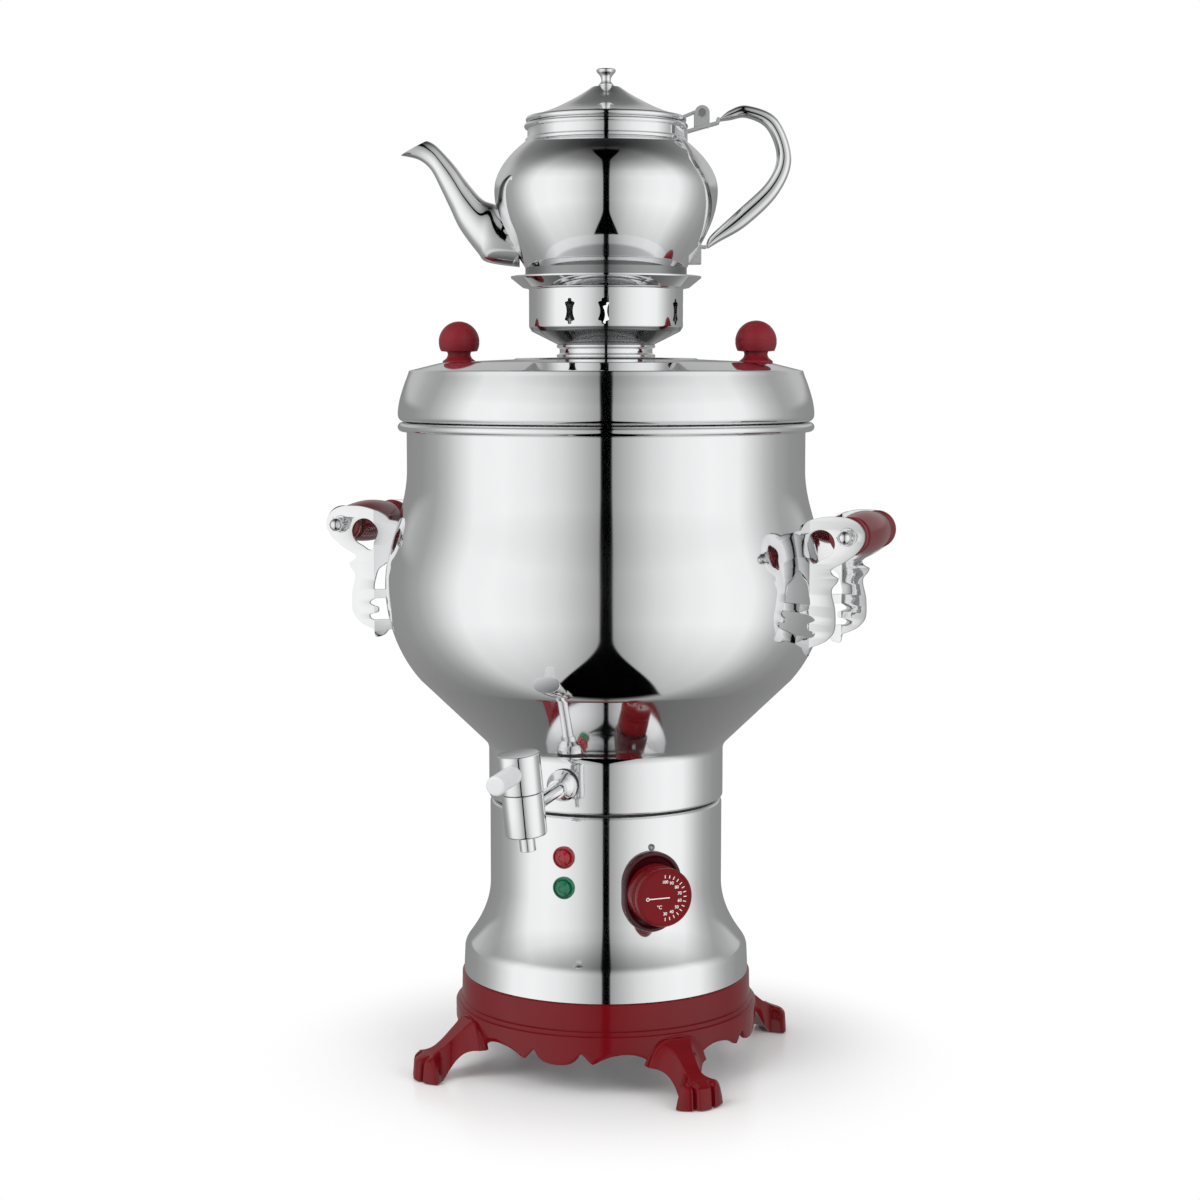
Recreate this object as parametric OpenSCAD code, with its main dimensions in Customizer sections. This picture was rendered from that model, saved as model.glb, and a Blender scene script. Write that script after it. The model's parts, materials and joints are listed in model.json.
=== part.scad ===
// Electric samovar with a teapot kept warm on its lid.
// Millimetres. Z is up and the floor is z = 0. The tap points along -Y, the two
// side handles stand on X, and the origin is on the samovar's axis at the floor.
// A bearing (az) is counted from -Y towards +X, seen from above.

/* [Base] */
// Height of the base's top edge above the floor
base_top = 51.2; // [48:0.1:70]
// Lip of the base that shows outside the casing's foot
base_lip = 1.3; // [0.5:0.1:4]
// How far the skirt stands out from the band above it
skirt_out = 3.4; // [2:0.1:8]
// Height of the skirt's upper edge
skirt_top = 34.2; // [33:0.1:40]
// Lowest point of the scalloped skirt
skirt_low = 17.5; // [14:0.1:22]
// Wall of the moulded base
base_wall = 3; // [2:0.1:4]
// Height of the underside of the deck inside the base
deck_z = 28; // [26:0.1:30]
// Bearing of the middle of the skirt between the two front legs
base_turn = 2.1; // [-45:0.1:45]
// How far the longest toe reaches beyond the skirt
toe_reach = 33; // [26:0.5:45]
// Width of a foot across its toes
toe_w = 28.6; // [22:0.1:36]
// Height of the toes
toe_h = 11.5; // [8:0.1:14]
// Radius of the arch where a leg grows out of the skirt
knee_r = 18; // [14:0.1:20]
// Radius of a rubber foot pad
pad_r = 5.5; // [4:0.5:7]

/* [Casing] */
// Radius of the casing's straight upper part
casing_r = 66.4; // [55:0.1:80]
// Radius of the casing at its foot
casing_foot_r = 81.9; // [80:0.1:100]
// Height of the casing
casing_h = 100.5; // [83:0.1:121]
// Height of the foot's edge below the flare
flare_low = 13.3; // [8:0.1:16]
// Height of the flare
flare_h = 39.5; // [32:0.5:50]
// Thickness of the casing sheet
casing_wall = 1.2; // [0.8:0.1:2]

/* [Tank] */
// How far the tank's neck stands out past the casing that carries it
neck_over = 0.6; // [0:0.1:3]
// Height of the tank's neck
neck_h = 27; // [24:0.1:36]
// Largest radius of the tank's belly
belly_r = 125.4; // [104:0.1:151]
// Height of the largest radius above the tank's floor
belly_h = 121.6; // [110:0.1:135]
// Height over which the belly closes to the mouth
shoulder_h = 65.4; // [50:0.1:75]
// Radius of the tank's straight upper wall
mouth_r = 112.6; // [98:0.1:124]
// Height of the tank from its floor to the top of its rim
tank_h = 213.3; // [205:0.1:256]
// Radius of the rolled bead round the mouth
bead_r = 2.6; // [2:0.1:3.5]
// How far the rim's bead reaches out from the wall
rim_out = 5; // [4:0.1:8]
// Thickness of the tank sheet
tank_wall = 1.2; // [0.8:0.1:2]
// Thickness of the gasket between casing and tank
gasket_t = 1.3; // [1:0.1:3]

/* [Tap] */
// Height of the tap's shank above the tank's floor, at the wall
tap_h = 16.4; // [13:0.1:18]
// Distance from the tank's neck to the tap's own axis
tap_reach = 56.5; // [40:0.5:70]
// Slope of the shank, down and outward
tap_droop = 5; // [0:0.5:8]
// Lean of the tap about its shank
tap_lean = -4; // [-6:0.5:6]
// Radius of the tap's body
tap_r = 11.1; // [9.5:0.1:14]
// Radius of the turning cap
cap_r = 11.4; // [10:0.1:14]
// Radius of the outlet nozzle
nozzle_r = 4.3; // [3:0.1:6]
// Length of the nozzle below the body
nozzle_l = 8.5; // [5:0.1:16]
// Radius of the lever
lever_r = 5.2; // [4:0.1:6]
// Distance from the tap's axis to the lever's end
lever_l = 34; // [24:0.5:60]
// Radius of the plug that turns inside the tap
plug_r = 6.5; // [5:0.1:7]

/* [Controls] */
// Bearing of the temperature knob
knob_az = 42.5; // [35:0.5:60]
// Radius of the temperature knob
knob_r = 16.2; // [14.5:0.1:20]
// Depth of the knob from face to back
knob_deep = 15.6; // [12:0.1:22]
// Depth of the knob's centre below the casing's top
knob_drop = 41.7; // [38:0.1:46]
// Radius of a lamp's lens
lamp_r = 6.25; // [5.5:0.05:8]
// Depth of the upper lamp below the casing's top
lamp_drop = 22.9; // [18:0.1:26]
// Distance between the two lamps
lamp_pitch = 17; // [15:0.1:22]

/* [Side handles] */
// Distance from the belly's largest radius to a grip's axis
grip_out = 24.6; // [18:0.1:40]
// Height of the grips above the tank's floor
grip_h = 154; // [145:0.1:160]
// Length of a grip between its brackets
grip_l = 67; // [50:0.5:80]
// Largest radius of a grip
grip_r = 12; // [10.5:0.1:15]
// Radius of the threaded rod through a grip
rod_r = 2.5; // [2.2:0.1:4]
// Thickness of the bracket sheet
bracket_t = 1.6; // [1:0.1:3]
// Distance from a rod's centre to the fold in its bracket
bracket_fold_at = 20.6; // [19:0.1:24]
// Angle by which a bracket's flange turns towards the other bracket
bracket_fold = 45; // [20:1:55]

/* [Lid] */
// Height of the lid from its lower edge to its shoulder
lid_h = 27.5; // [22:0.1:40]
// How far the shoulder stands in from the lid's lower edge
lid_taper = 6.4; // [2:0.1:12]
// Rise of the lid's top from its shoulder to the collar
lid_rise = 8.3; // [6:0.1:20]
// Distance from the axis to a lid knob
lid_knob_at = 84.8; // [60:0.1:90]
// Radius of a lid knob's ball
ball_r = 11.6; // [9:0.1:14]
// Turn of the lid about the axis as it lies on the tank
lid_turn = 11.5; // [-45:0.1:45]
// Angle by which the collar's cut-outs are turned
collar_turn = 5.8; // [-45:0.1:45]
// Thickness of the sheet of lid, collar and teapot
sheet = 1.2; // [0.8:0.1:1.5]

/* [Collar] */
// Radius of the collar's wall
collar_r = 43.4; // [38:0.1:53]
// Height of the collar from the lid to the teapot's seat
collar_h = 40.2; // [34:0.1:55]
// Radius of the collar's neck
collar_neck_r = 26.2; // [20:0.1:30]
// How far the collar's brim reaches out from its wall
brim_out = 10.1; // [7:0.1:14]
// Width of a slot in the collar
slot_w = 6; // [4:0.1:7]
// Height of a slot in the collar
slot_h = 14.2; // [10:0.1:18]

/* [Teapot] */
// Turn of the teapot about the axis as it stands on the collar
pot_turn = 20.5; // [-180:0.5:180]
// Largest radius of the teapot
pot_r = 62.6; // [58:0.1:75]
// Height of the teapot's largest radius above its foot
pot_belly_h = 52.2; // [48:0.1:60]
// Radius of the teapot's neck
pot_neck_r = 44; // [36:0.1:48]
// Height of the teapot's rim above its foot
pot_h = 89.5; // [86:0.1:98]
// Height of the teapot lid's cone
pot_cone_h = 18; // [12:0.1:26]
// Width of the teapot's handle
pot_handle_w = 13; // [9:0.1:20]
// Radius of the pin of the teapot's hinge
hinge_pin_r = 1.5; // [1.2:0.1:2]

/* [Fits] */
// Radial clearance of a turning fit
turn_gap = 0.05; // [0.02:0.01:0.09]
// Gap between pieces that lift off and what they rest on
rest_gap = 0.3; // [0.2:0.05:0.4]
// Radial clearance round a screw or a fixed pin
screw_gap = 0.2; // [0.05:0.05:0.4]

/* [Hidden] */
$fn = 96;

steel = "#c8cbcf";
dark_steel = "#8d9196";
red = "#7a141c";
bright_red = "#a02833";
grip_red = "#8e2733";
bezel_red = "#3e0a10";
rubber_black = "#262626";
brass = "#b99a55";
white_ceramic = "#e8e4da";
grey_plastic = "#d5d5d2";
lamp_red = "#c41a1a";
lamp_green = "#1f9a4c";

BIG = 400;
ARC_STEPS = 8;
SIDES = [-1, 1];
// Elbows of a bar are a little thicker than the bar
ELBOW = 1.06;

// Heights of the joints between the stacked shells
casing_top = base_top + casing_h;
tank_z = casing_top + gasket_t;
tank_top = tank_z + tank_h;
lid_z = tank_top + rest_gap;
shoulder_z = lid_z + lid_h;
collar_z = shoulder_z + lid_rise;
seat_z = collar_z + collar_h;
pot_z = seat_z + rest_gap;
rim_z = pot_z + pot_h;

// Radii that follow from the driving ones
base_band_r = casing_foot_r + base_lip;
skirt_r = base_band_r + skirt_out;
neck_r = casing_r + neck_over;
rim_r = mouth_r + rim_out;
lid_r = rim_r;
belly_z = tank_z + belly_h;
bore_r = mouth_r - tank_wall;

// ---------------------------------------------------------------- helpers

function backwards(v) = [for (i = [len(v) - 1:-1:0]) v[i]];

// An S curve that runs from 0 to 1
function ease(t) = (1 - cos(180 * t)) / 2;

// Points of an outline moved towards the axis
function inward(pts, d) = [for (p = pts) [p[0] - d, p[1]]];

// One point of a smooth curve through four neighbouring points
function curve_point(a, b, c, d, t) =
    0.5 * (2 * b + (c - a) * t + (2 * a - 5 * b + 4 * c - d) * t * t
        + (3 * b - a - 3 * c + d) * t * t * t);

// A smooth curve through all the given points
function smooth(p, n = 5) = concat(
    [for (i = [0:len(p) - 2], k = [0:n - 1])
        curve_point(p[max(i - 1, 0)], p[i], p[i + 1], p[min(i + 2, len(p) - 1)], k / n)],
    [p[len(p) - 1]]);

// Puts a child whose +Z is outward on the bearing az at height z
module facing(az, z) {
    rotate([0, 0, az]) translate([0, 0, z]) rotate([90, 0, 0]) children();
}

// A sheet wall of the given radial thickness inside an outline
module wall_section(outline, thick) {
    polygon(concat(outline, backwards(inward(outline, thick))));
}

// All that lies inside an outline, as a solid of revolution
module filled(outline) {
    rotate_extrude() polygon(concat(
        [[0, outline[0][1]]], outline, [[0, outline[len(outline) - 1][1]]]));
}

module ring(r_out, r_in, h) {
    difference() {
        cylinder(r = r_out, h = h);
        translate([0, 0, -1]) cylinder(r = r_in, h = h + 2);
    }
}

// A hexagon prism with the given width across its flats
module hexagon(flats, h) {
    cylinder(r = flats / 2 / cos(30), h = h, $fn = 6);
}

// A round bar through all the points, with round elbows
module bar(points, r) {
    for (i = [0:len(points) - 2]) {
        along = points[i + 1] - points[i];
        translate(points[i])
            rotate([0, acos(along[2] / norm(along)), atan2(along[1], along[0])])
                cylinder(r = r, h = norm(along), $fn = 24);
        if (i > 0) translate(points[i]) sphere(r = r * ELBOW, $fn = 24);
    }
}

// ------------------------------------------------------------------- base

deck_t = 3;
deck_hole_r = casing_foot_r - 12;
plate_t = 1.2;
plate_z = deck_z - plate_t;
step_z = skirt_top + 2.4;
foot_clear = 0.8;
pad_t = 2.4;
knee_z = 14.5;
leg_az = base_turn + 45;
ankle_w = 14;
ankle_h = 19;
toe_r = skirt_r + toe_reach;
heel_r = skirt_r + 12;
pad_at = toe_r - 9.6;
arch_z = 24;
cusp_z = 19;
stud_at = casing_r - 14.4;
stud_az = [90, 210, 330];
stud_r = 2.5;

// Edge of the skirt between two legs: arch, side point, notch, middle lobe
function scallop_half() = smooth([
    [0, skirt_low], [5, skirt_low + 0.4], [9, skirt_low + 1.9], [11.8, skirt_low + 4.3],
    [13.3, arch_z + 0.4]], 3);

module scallop_cut() {
    half = scallop_half();
    arch = smooth([[22, cusp_z], [28, cusp_z + 2.8], [39, arch_z], [48, arch_z - 3.5]], 4);
    edge = concat(half, [[14.8, arch_z], [20, cusp_z + 0.8]], arch, [[50.5, skirt_low]]);
    left = [for (p = backwards(edge)) [-p[0], p[1]]];
    rotate([90, 0, 0]) linear_extrude(height = skirt_r + 5)
        polygon(concat([[-50.5, 0]], left, edge, [[50.5, 0]]));
}

// One leg from an arch on the skirt over its ankle to its toes, along -Y
module leg() {
    hull() {
        intersection() {
            translate([0, -skirt_r + 3, knee_z]) rotate([90, 0, 0])
                cylinder(r = knee_r, h = 3, $fn = 32);
            translate([-BIG / 2, -BIG / 2, knee_z]) cube(BIG);
        }
        translate([-ankle_w / 2, -heel_r - 6, foot_clear]) cube([ankle_w, 6, ankle_h]);
    }
    toes();
}

module toes() {
    translate([0, 0, foot_clear]) linear_extrude(height = toe_h) polygon([
        [-ankle_w / 2, -heel_r + 4], [-toe_w / 2, -toe_r + 11], [-toe_w / 2 + 1.5, -toe_r + 7],
        [-toe_w / 4, -toe_r + 2], [-toe_w / 5, -toe_r + 3.4], [0, -toe_r],
        [toe_w / 5, -toe_r + 3.4], [toe_w / 4, -toe_r + 2], [toe_w / 2 - 1.5, -toe_r + 7],
        [toe_w / 2, -toe_r + 11], [ankle_w / 2, -heel_r + 4]]);
}

module base() {
    color(red) difference() {
        union() {
            difference() {
                rotate_extrude() polygon([
                    [base_band_r, base_top], [base_band_r, step_z],
                    [base_band_r + skirt_out / 2, step_z], [base_band_r + skirt_out / 2, skirt_top],
                    [skirt_r, skirt_top], [skirt_r, skirt_low],
                    [skirt_r - base_wall, skirt_low], [skirt_r - base_wall, deck_z],
                    [deck_hole_r, deck_z], [deck_hole_r, deck_z + deck_t],
                    [base_band_r - base_wall, deck_z + deck_t],
                    [base_band_r - base_wall, base_top]]);
                for (k = [0:3]) rotate([0, 0, base_turn + 90 * k]) scallop_cut();
            }
            for (k = [0:3]) rotate([0, 0, leg_az + 90 * k]) leg();
        }
        translate([0, 0, -1]) cylinder(r = skirt_r - base_wall, h = deck_z + 1);
        each_foot() translate([0, 0, -1]) cylinder(r = pad_r, h = pad_t + 1);
    }
}

module each_foot() {
    for (k = [0:3]) rotate([0, 0, leg_az + 90 * k]) translate([0, -pad_at, 0]) children();
}

module foot_pads() {
    color(rubber_black) each_foot() cylinder(r = pad_r, h = pad_t);
}

module each_stud() {
    for (az = stud_az) rotate([0, 0, az]) translate([0, -stud_at, 0]) children();
}

module bottom_plate() {
    vent_l = 20;
    vent_w = 4;
    color(dark_steel) difference() {
        translate([0, 0, plate_z]) cylinder(r = deck_hole_r + 8, h = plate_t);
        each_stud() translate([0, 0, plate_z - 1]) cylinder(r = stud_r + screw_gap, h = plate_t + 2);
        for (k = [-2:2])
            translate([-vent_l / 2, 3 * vent_w * k - vent_w / 2, plate_z - 1])
                cube([vent_l, vent_w, plate_t + 2]);
    }
}

module tie_studs() {
    low = plate_z - 7;
    color(dark_steel) each_stud() translate([0, 0, low]) cylinder(r = stud_r, h = tank_z - low);
}

module stud_nuts() {
    nut_h = 4;
    color(dark_steel) each_stud() translate([0, 0, plate_z - nut_h]) difference() {
        union() {
            hexagon(8, nut_h);
            translate([0, 0, nut_h - 1]) cylinder(r = 6, h = 1);
        }
        translate([0, 0, -1]) cylinder(r = stud_r, h = nut_h + 2);
    }
}

// ----------------------------------------------------------------- casing

edge_r = 2.4;
flange_in = 11;
foot_taper = 0.6;
flare_turn = 0.157;

// Share of the flare's width that is left behind at a share t of its height: a short
// round and then a long hollow, two parabolas that meet at flare_turn
function flare(t) = t < flare_turn ? t * t / flare_turn : 1 - (1 - t) * (1 - t) / (1 - flare_turn);

// The casing's outside from its foot up to where its top edge rounds over
function casing_side(z_end) = let (wide = casing_foot_r - foot_taper) concat(
    [[casing_foot_r, base_top]],
    [for (i = [0:3 * ARC_STEPS]) let (t = i / (3 * ARC_STEPS))
        [wide - (wide - casing_r) * flare(t), base_top + flare_low + flare_h * t]],
    [[casing_r, z_end]]);

function casing_outline() = concat(
    casing_side(casing_top - edge_r),
    [for (i = [1:ARC_STEPS]) let (a = 90 * i / ARC_STEPS)
        [casing_r - edge_r * (1 - cos(a)), casing_top - edge_r * (1 - sin(a))]]);

// All that lies inside the casing's outer face
module casing_envelope() {
    filled(casing_outline());
}

module casing() {
    color(steel) difference() {
        rotate_extrude() difference() {
            polygon(concat([[0, base_top]], casing_outline(), [[0, casing_top]]));
            polygon(concat([[0, base_top - 1]],
                inward(casing_side(casing_top - casing_wall), casing_wall),
                [[0, casing_top - casing_wall]]));
            translate([0, base_top - 1]) square([casing_foot_r - casing_wall, 2]);
            translate([0, casing_top - 5]) square([casing_r - flange_in, 10]);
        }
        each_lamp() cylinder(r = lamp_hole_r, h = casing_foot_r + 1);
        facing(knob_az, knob_z) {
            cylinder(r = bush_r + screw_gap, h = casing_foot_r + 1);
            for (s = SIDES) translate([s * plate_screw_at, 0, 0])
                cylinder(r = plate_screw_r + screw_gap, h = casing_foot_r + 1);
        }
        facing(knob_az, marker_z) cylinder(r = marker_r / 2, h = casing_foot_r + 1);
        facing(inlet_az, inlet_z) {
            translate([-inlet_w / 2 - screw_gap, -inlet_t / 2 - screw_gap, 0])
                cube([inlet_w + 2 * screw_gap, inlet_t + 2 * screw_gap, casing_foot_r + 1]);
            each_inlet_screw() cylinder(r = inlet_screw_r + screw_gap, h = casing_foot_r + 1);
        }
    }
}

module seam_gasket() {
    color(rubber_black) translate([0, 0, casing_top])
        ring(casing_r - edge_r, casing_r - flange_in, gasket_t);
}

// ---------------------------------------------------- power inlet, wiring

inlet_az = 180;
inlet_z = casing_top - 31;
inlet_w = 20;
inlet_t = 27;
inlet_deep = 26;
inlet_face = casing_r + 2.6;
inlet_screw_at = 19;
inlet_screw_r = 1.75;
socket_w = 16;
socket_t = 23;
socket_deep = 19;

module each_inlet_screw() {
    for (s = SIDES) translate([0, s * inlet_screw_at, 0]) children();
}

module power_inlet() {
    flange_w = 24;
    flange_h = 47;
    color(rubber_black) facing(inlet_az, inlet_z) difference() {
        union() {
            translate([-inlet_w / 2, -inlet_t / 2, casing_r - inlet_deep])
                cube([inlet_w, inlet_t, inlet_face - casing_r + inlet_deep]);
            difference() {
                translate([-flange_w / 2, -flange_h / 2, casing_r - 4])
                    cube([flange_w, flange_h, inlet_face - casing_r + 4]);
                rotate([-90, 0, 0]) rotate([0, 0, -inlet_az]) translate([0, 0, -inlet_z])
                    casing_envelope();
            }
        }
        translate([-socket_w / 2, -socket_t / 2, inlet_face - socket_deep])
            cube([socket_w, socket_t, socket_deep + 1]);
        each_inlet_screw() cylinder(r = inlet_screw_r + screw_gap / 2, h = casing_foot_r + 9);
        for (p = inlet_pin_places) translate([p[0] - 1, p[1] - 2, casing_r - inlet_deep - 1])
            cube([2, 4, inlet_deep]);
    }
}

inlet_pin_places = [[0, 6], [-4, -4], [4, -4]];

module inlet_pins() {
    color(brass) facing(inlet_az, inlet_z)
        for (p = inlet_pin_places)
            translate([p[0] - 1, p[1] - 2, casing_r - inlet_deep - 6]) cube([2, 4, 26]);
}

module inlet_screws() {
    color(dark_steel) facing(inlet_az, inlet_z) each_inlet_screw() {
        translate([0, 0, casing_r - 8]) cylinder(r = inlet_screw_r, h = inlet_face - casing_r + 8);
        translate([0, 0, inlet_face]) cylinder(r = 3, h = 1.6);
    }
}

block_w = 36;
block_t = 18;
block_h = 12;
block_y = 6;
block_z = deck_z;

module terminal_block() {
    color(white_ceramic) translate([-block_w / 2, block_y - block_t / 2, block_z]) difference() {
        cube([block_w, block_t, block_h]);
        for (k = [0:2]) translate([block_w * (2 * k + 1) / 6, block_t / 2, block_h - 6])
            cylinder(r = 3, h = 7);
    }
}

wire_r = 1.2;

module wiring() {
    top = block_z + block_h + wire_r;
    pin_y = casing_r - inlet_deep - 6 - wire_r;
    rear = thermostat_back - wire_r;
    back_x = rear * sin(knob_az);
    back_y = -rear * cos(knob_az);
    leg_low = tank_z - leg_drop - wire_r;
    lamp_low = lamp_back - wire_r;
    color(rubber_black) {
        bar([[-4, pin_y, inlet_z - 4], [-8, pin_y - 4, 62], [-15, block_y + 5, top]], wire_r);
        bar([[4, pin_y, inlet_z - 4], [8, pin_y - 4, 62], [15, block_y + 5, top]], wire_r);
        bar([[0, pin_y, inlet_z + 6], [0, pin_y - 12, inlet_z], [0, block_y + 5, top]], wire_r);
        bar([[back_x - 4, back_y - 3, knob_z - 4], [10, -8, 70], [15, block_y - 5, top]], wire_r);
        bar([[back_x + 3, back_y + 3, knob_z + 4], [0, -10, leg_low - 8],
            [-element_r * cos(leg_half), -element_r * sin(leg_half), leg_low]], wire_r);
        bar([[-15, block_y - 5, top], [-30, block_y + 6, 80],
            [-element_r * cos(leg_half), element_r * sin(leg_half), leg_low]], wire_r);
        bar([[0, -lamp_low, lamp_z], [-6, -lamp_low + 8, lamp_z - 12],
            [-7, -lamp_low + 8, lamp_z - lamp_pitch - 6], [-2, block_y - 5, top]], wire_r);
    }
}

// ------------------------------------------------------ thermostat, knob

knob_z = casing_top - knob_drop;
bush_r = 5;
shaft_r = 3;
thermostat_r = 16;
thermostat_front = sqrt(pow(casing_r - casing_wall, 2) - pow(thermostat_r, 2)) - 0.4;
thermostat_back = thermostat_front - 22;
bezel_w = 34;
bezel_h = 44.4;
bezel_face = casing_r + 3.2;
knob_back = bezel_face + 0.6;
knob_face = knob_back + knob_deep;
plate_screw_at = 9.6;
plate_screw_r = 2;
plate_head_r = 3;
shaft_end = knob_face - 5;
shaft_in = thermostat_front - 10;
marker_r = 1.9;
marker_gap = 0.3;
marker_z = knob_z + bezel_h / 2 + marker_gap + marker_r;

module thermostat() {
    color(dark_steel) facing(knob_az, knob_z) difference() {
        union() {
            translate([0, 0, thermostat_back])
                cylinder(r = thermostat_r, h = thermostat_front - thermostat_back);
            translate([0, 0, thermostat_front]) cylinder(r = bush_r, h = bezel_face - thermostat_front);
        }
        translate([0, 0, shaft_in - 0.4])
            cylinder(r = shaft_r + turn_gap, h = bezel_face - shaft_in + 2);
        for (s = SIDES) translate([s * plate_screw_at, 0, thermostat_front - 8])
            cylinder(r = plate_screw_r, h = 9);
    }
}

module thermostat_shaft() {
    color(steel) facing(knob_az, knob_z) translate([0, 0, shaft_in])
        cylinder(r = shaft_r, h = shaft_end - shaft_in);
}

module thermostat_screws() {
    color(dark_steel) facing(knob_az, knob_z) for (s = SIDES)
        translate([s * plate_screw_at, 0, 0]) {
            translate([0, 0, thermostat_front - 7])
                cylinder(r = plate_screw_r, h = bezel_face - thermostat_front + 7);
            translate([0, 0, bezel_face]) cylinder(r = plate_head_r, h = 1.8);
        }
}

// A flat oval that stands upright, w wide and h high
module oval(w, h) {
    for (s = SIDES) translate([0, s * (h - w) / 2]) circle(d = w);
    square([w, h - w], center = true);
}

module knob_bezel() {
    color(bezel_red) difference() {
        facing(knob_az, knob_z) translate([0, 0, casing_r - 12])
            linear_extrude(height = bezel_face - casing_r + 12) oval(bezel_w, bezel_h);
        casing_envelope();
        facing(knob_az, knob_z) {
            cylinder(r = bush_r + screw_gap, h = BIG);
            for (s = SIDES) translate([s * plate_screw_at, 0, 0])
                cylinder(r = plate_screw_r + screw_gap, h = BIG);
        }
    }
}

module knob() {
    hub_r = 5.2;
    recess = 5;
    color(bright_red) facing(knob_az, knob_z) difference() {
        rotate_extrude() polygon([
            [0, knob_face], [knob_r - 1.5, knob_face], [knob_r - 0.4, knob_face - 0.6],
            [knob_r, knob_face - 1.8], [knob_r, knob_face - 5], [knob_r - 1.2, knob_face - 5.8],
            [knob_r - 1.2, knob_face - 8.4], [knob_r, knob_face - 9.2], [knob_r, knob_back],
            [0, knob_back]]);
        translate([0, 0, knob_back - 1]) ring(knob_r - 2, hub_r, recess + 1);
        translate([0, 0, knob_back - 1]) cylinder(r = shaft_r, h = shaft_end - knob_back + 1);
    }
}

module dial_marker() {
    color(steel) facing(knob_az, marker_z) {
        translate([0, 0, casing_r - 5]) cylinder(r = marker_r / 2, h = 5);
        translate([0, 0, casing_r]) cylinder(r1 = marker_r, r2 = marker_r * 0.6, h = 1);
    }
}

// ---------------------------------------------- sensor and thermal cutout

bulb_r = 3;
bulb_l = 40;
bulb_y = -14;
bulb_z = tank_z - bulb_r - 1;

module sensor_bulb() {
    end = [bulb_l - 8, bulb_y, bulb_z];
    rear = thermostat_back - 1;
    color(brass) {
        translate([-8, bulb_y, bulb_z]) rotate([0, 90, 0]) cylinder(r = bulb_r, h = bulb_l);
        bar([end - [1, 0, 0], end + [6, -1, -2], end + [4, -4, -12],
            [(rear - 3) * sin(knob_az), -(rear - 3) * cos(knob_az), knob_z + thermostat_r - 6],
            [(rear + 1) * sin(knob_az), -(rear + 1) * cos(knob_az), knob_z + thermostat_r - 8]], 1);
    }
}

module bulb_clip() {
    clip_w = 6;
    color(steel) for (x = [-2, 22]) translate([x, bulb_y, 0]) rotate([90, 0, 90]) {
        linear_extrude(height = clip_w) difference() {
            union() {
                translate([0, bulb_z]) circle(r = bulb_r + 1);
                translate([-bulb_r - 1, bulb_z]) square([2 * bulb_r + 2, tank_z - bulb_z]);
                translate([-bulb_r - 5, tank_z - 1]) square([2 * bulb_r + 10, 1]);
            }
            translate([0, bulb_z]) circle(r = bulb_r);
            translate([-bulb_r, bulb_z]) square([2 * bulb_r, tank_z - bulb_z - 1]);
        }
    }
}

module thermal_cutout() {
    color(white_ceramic) translate([16, 18, 0]) {
        translate([0, 0, tank_z - 10]) cylinder(r = 8, h = 8.5);
        translate([0, 0, tank_z - 1.5]) cylinder(r = 9.5, h = 1.5);
        for (s = SIDES) translate([5 * s - 0.4, -3, tank_z - 17]) cube([0.8, 6, 7]);
    }
}

// ------------------------------------------------------------------ lamps

lamp_z = casing_top - lamp_drop;
lamp_hole_r = lamp_r - 1.3;
lamp_body_r = lamp_hole_r - 0.1;
lamp_back = casing_r - 22;

module each_lamp() {
    for (k = [0, 1]) facing(0, lamp_z - k * lamp_pitch) children();
}

// A lens with a flange that follows the casing and a faceted face
module lens(k) {
    rim = 1.4;
    difference() {
        facing(0, lamp_z - k * lamp_pitch) {
            translate([0, 0, casing_r - 3]) cylinder(r = lamp_r, h = 3 + rim);
            translate([0, 0, casing_r + rim])
                cylinder(r1 = lamp_r - 0.6, r2 = lamp_r - 2.6, h = 2.2, $fn = 8);
        }
        casing_envelope();
    }
}

module red_lamp_lens() {
    color(lamp_red) lens(0);
}

module green_lamp_lens() {
    color(lamp_green) lens(1);
}

module lamp_bodies() {
    lamp_front = sqrt(pow(casing_r, 2) - pow(lamp_body_r, 2));
    color(grey_plastic) each_lamp() translate([0, 0, lamp_back])
        cylinder(r = lamp_body_r, h = lamp_front - lamp_back);
}

module lamp_clips() {
    clip_r = 8;
    clip_at = sqrt(pow(casing_r - casing_wall, 2) - pow(clip_r, 2)) - 0.8;
    color(steel) each_lamp() translate([0, 0, clip_at]) ring(clip_r, lamp_body_r, 0.8);
}

// ------------------------------------------------------------------- tank

floor_t = 1.5;
foot_edge = 1.5;
neck_fillet = 8;
belly_arc_r = 64.7;
belly_arc_h = 75;
crease = 45;

// One point of the lower belly, at an angle below the belly's largest radius
function belly_point(a) =
    [belly_r - belly_arc_r * (1 - cos(a)), belly_z - belly_arc_h * sin(a)];

// The outside of the tank's bottom, from its floor up the funnel to the crease
function bottom_outline() = concat(
    [[neck_r - foot_edge, tank_z], [neck_r, tank_z + foot_edge]],
    [for (i = [0:4]) let (a = crease * i / 4)
        [neck_r + neck_fillet * (1 - cos(a)), tank_z + neck_h + neck_fillet * sin(a)]],
    [belly_point(crease)]);

// The outside of the belly, from the crease to the underside of the rim
function belly_outline(z_end) = concat(
    [for (i = [0:ARC_STEPS]) belly_point(crease * (1 - i / ARC_STEPS))],
    [for (i = [1:2 * ARC_STEPS]) let (t = i / (2 * ARC_STEPS))
        [belly_r - (belly_r - mouth_r) * ease(t), belly_z + shoulder_h * t]],
    [[mouth_r, z_end]]);

// All that lies inside the outer face of the belly
module belly_envelope() {
    filled(belly_outline(tank_top - bead_r));
}

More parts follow.
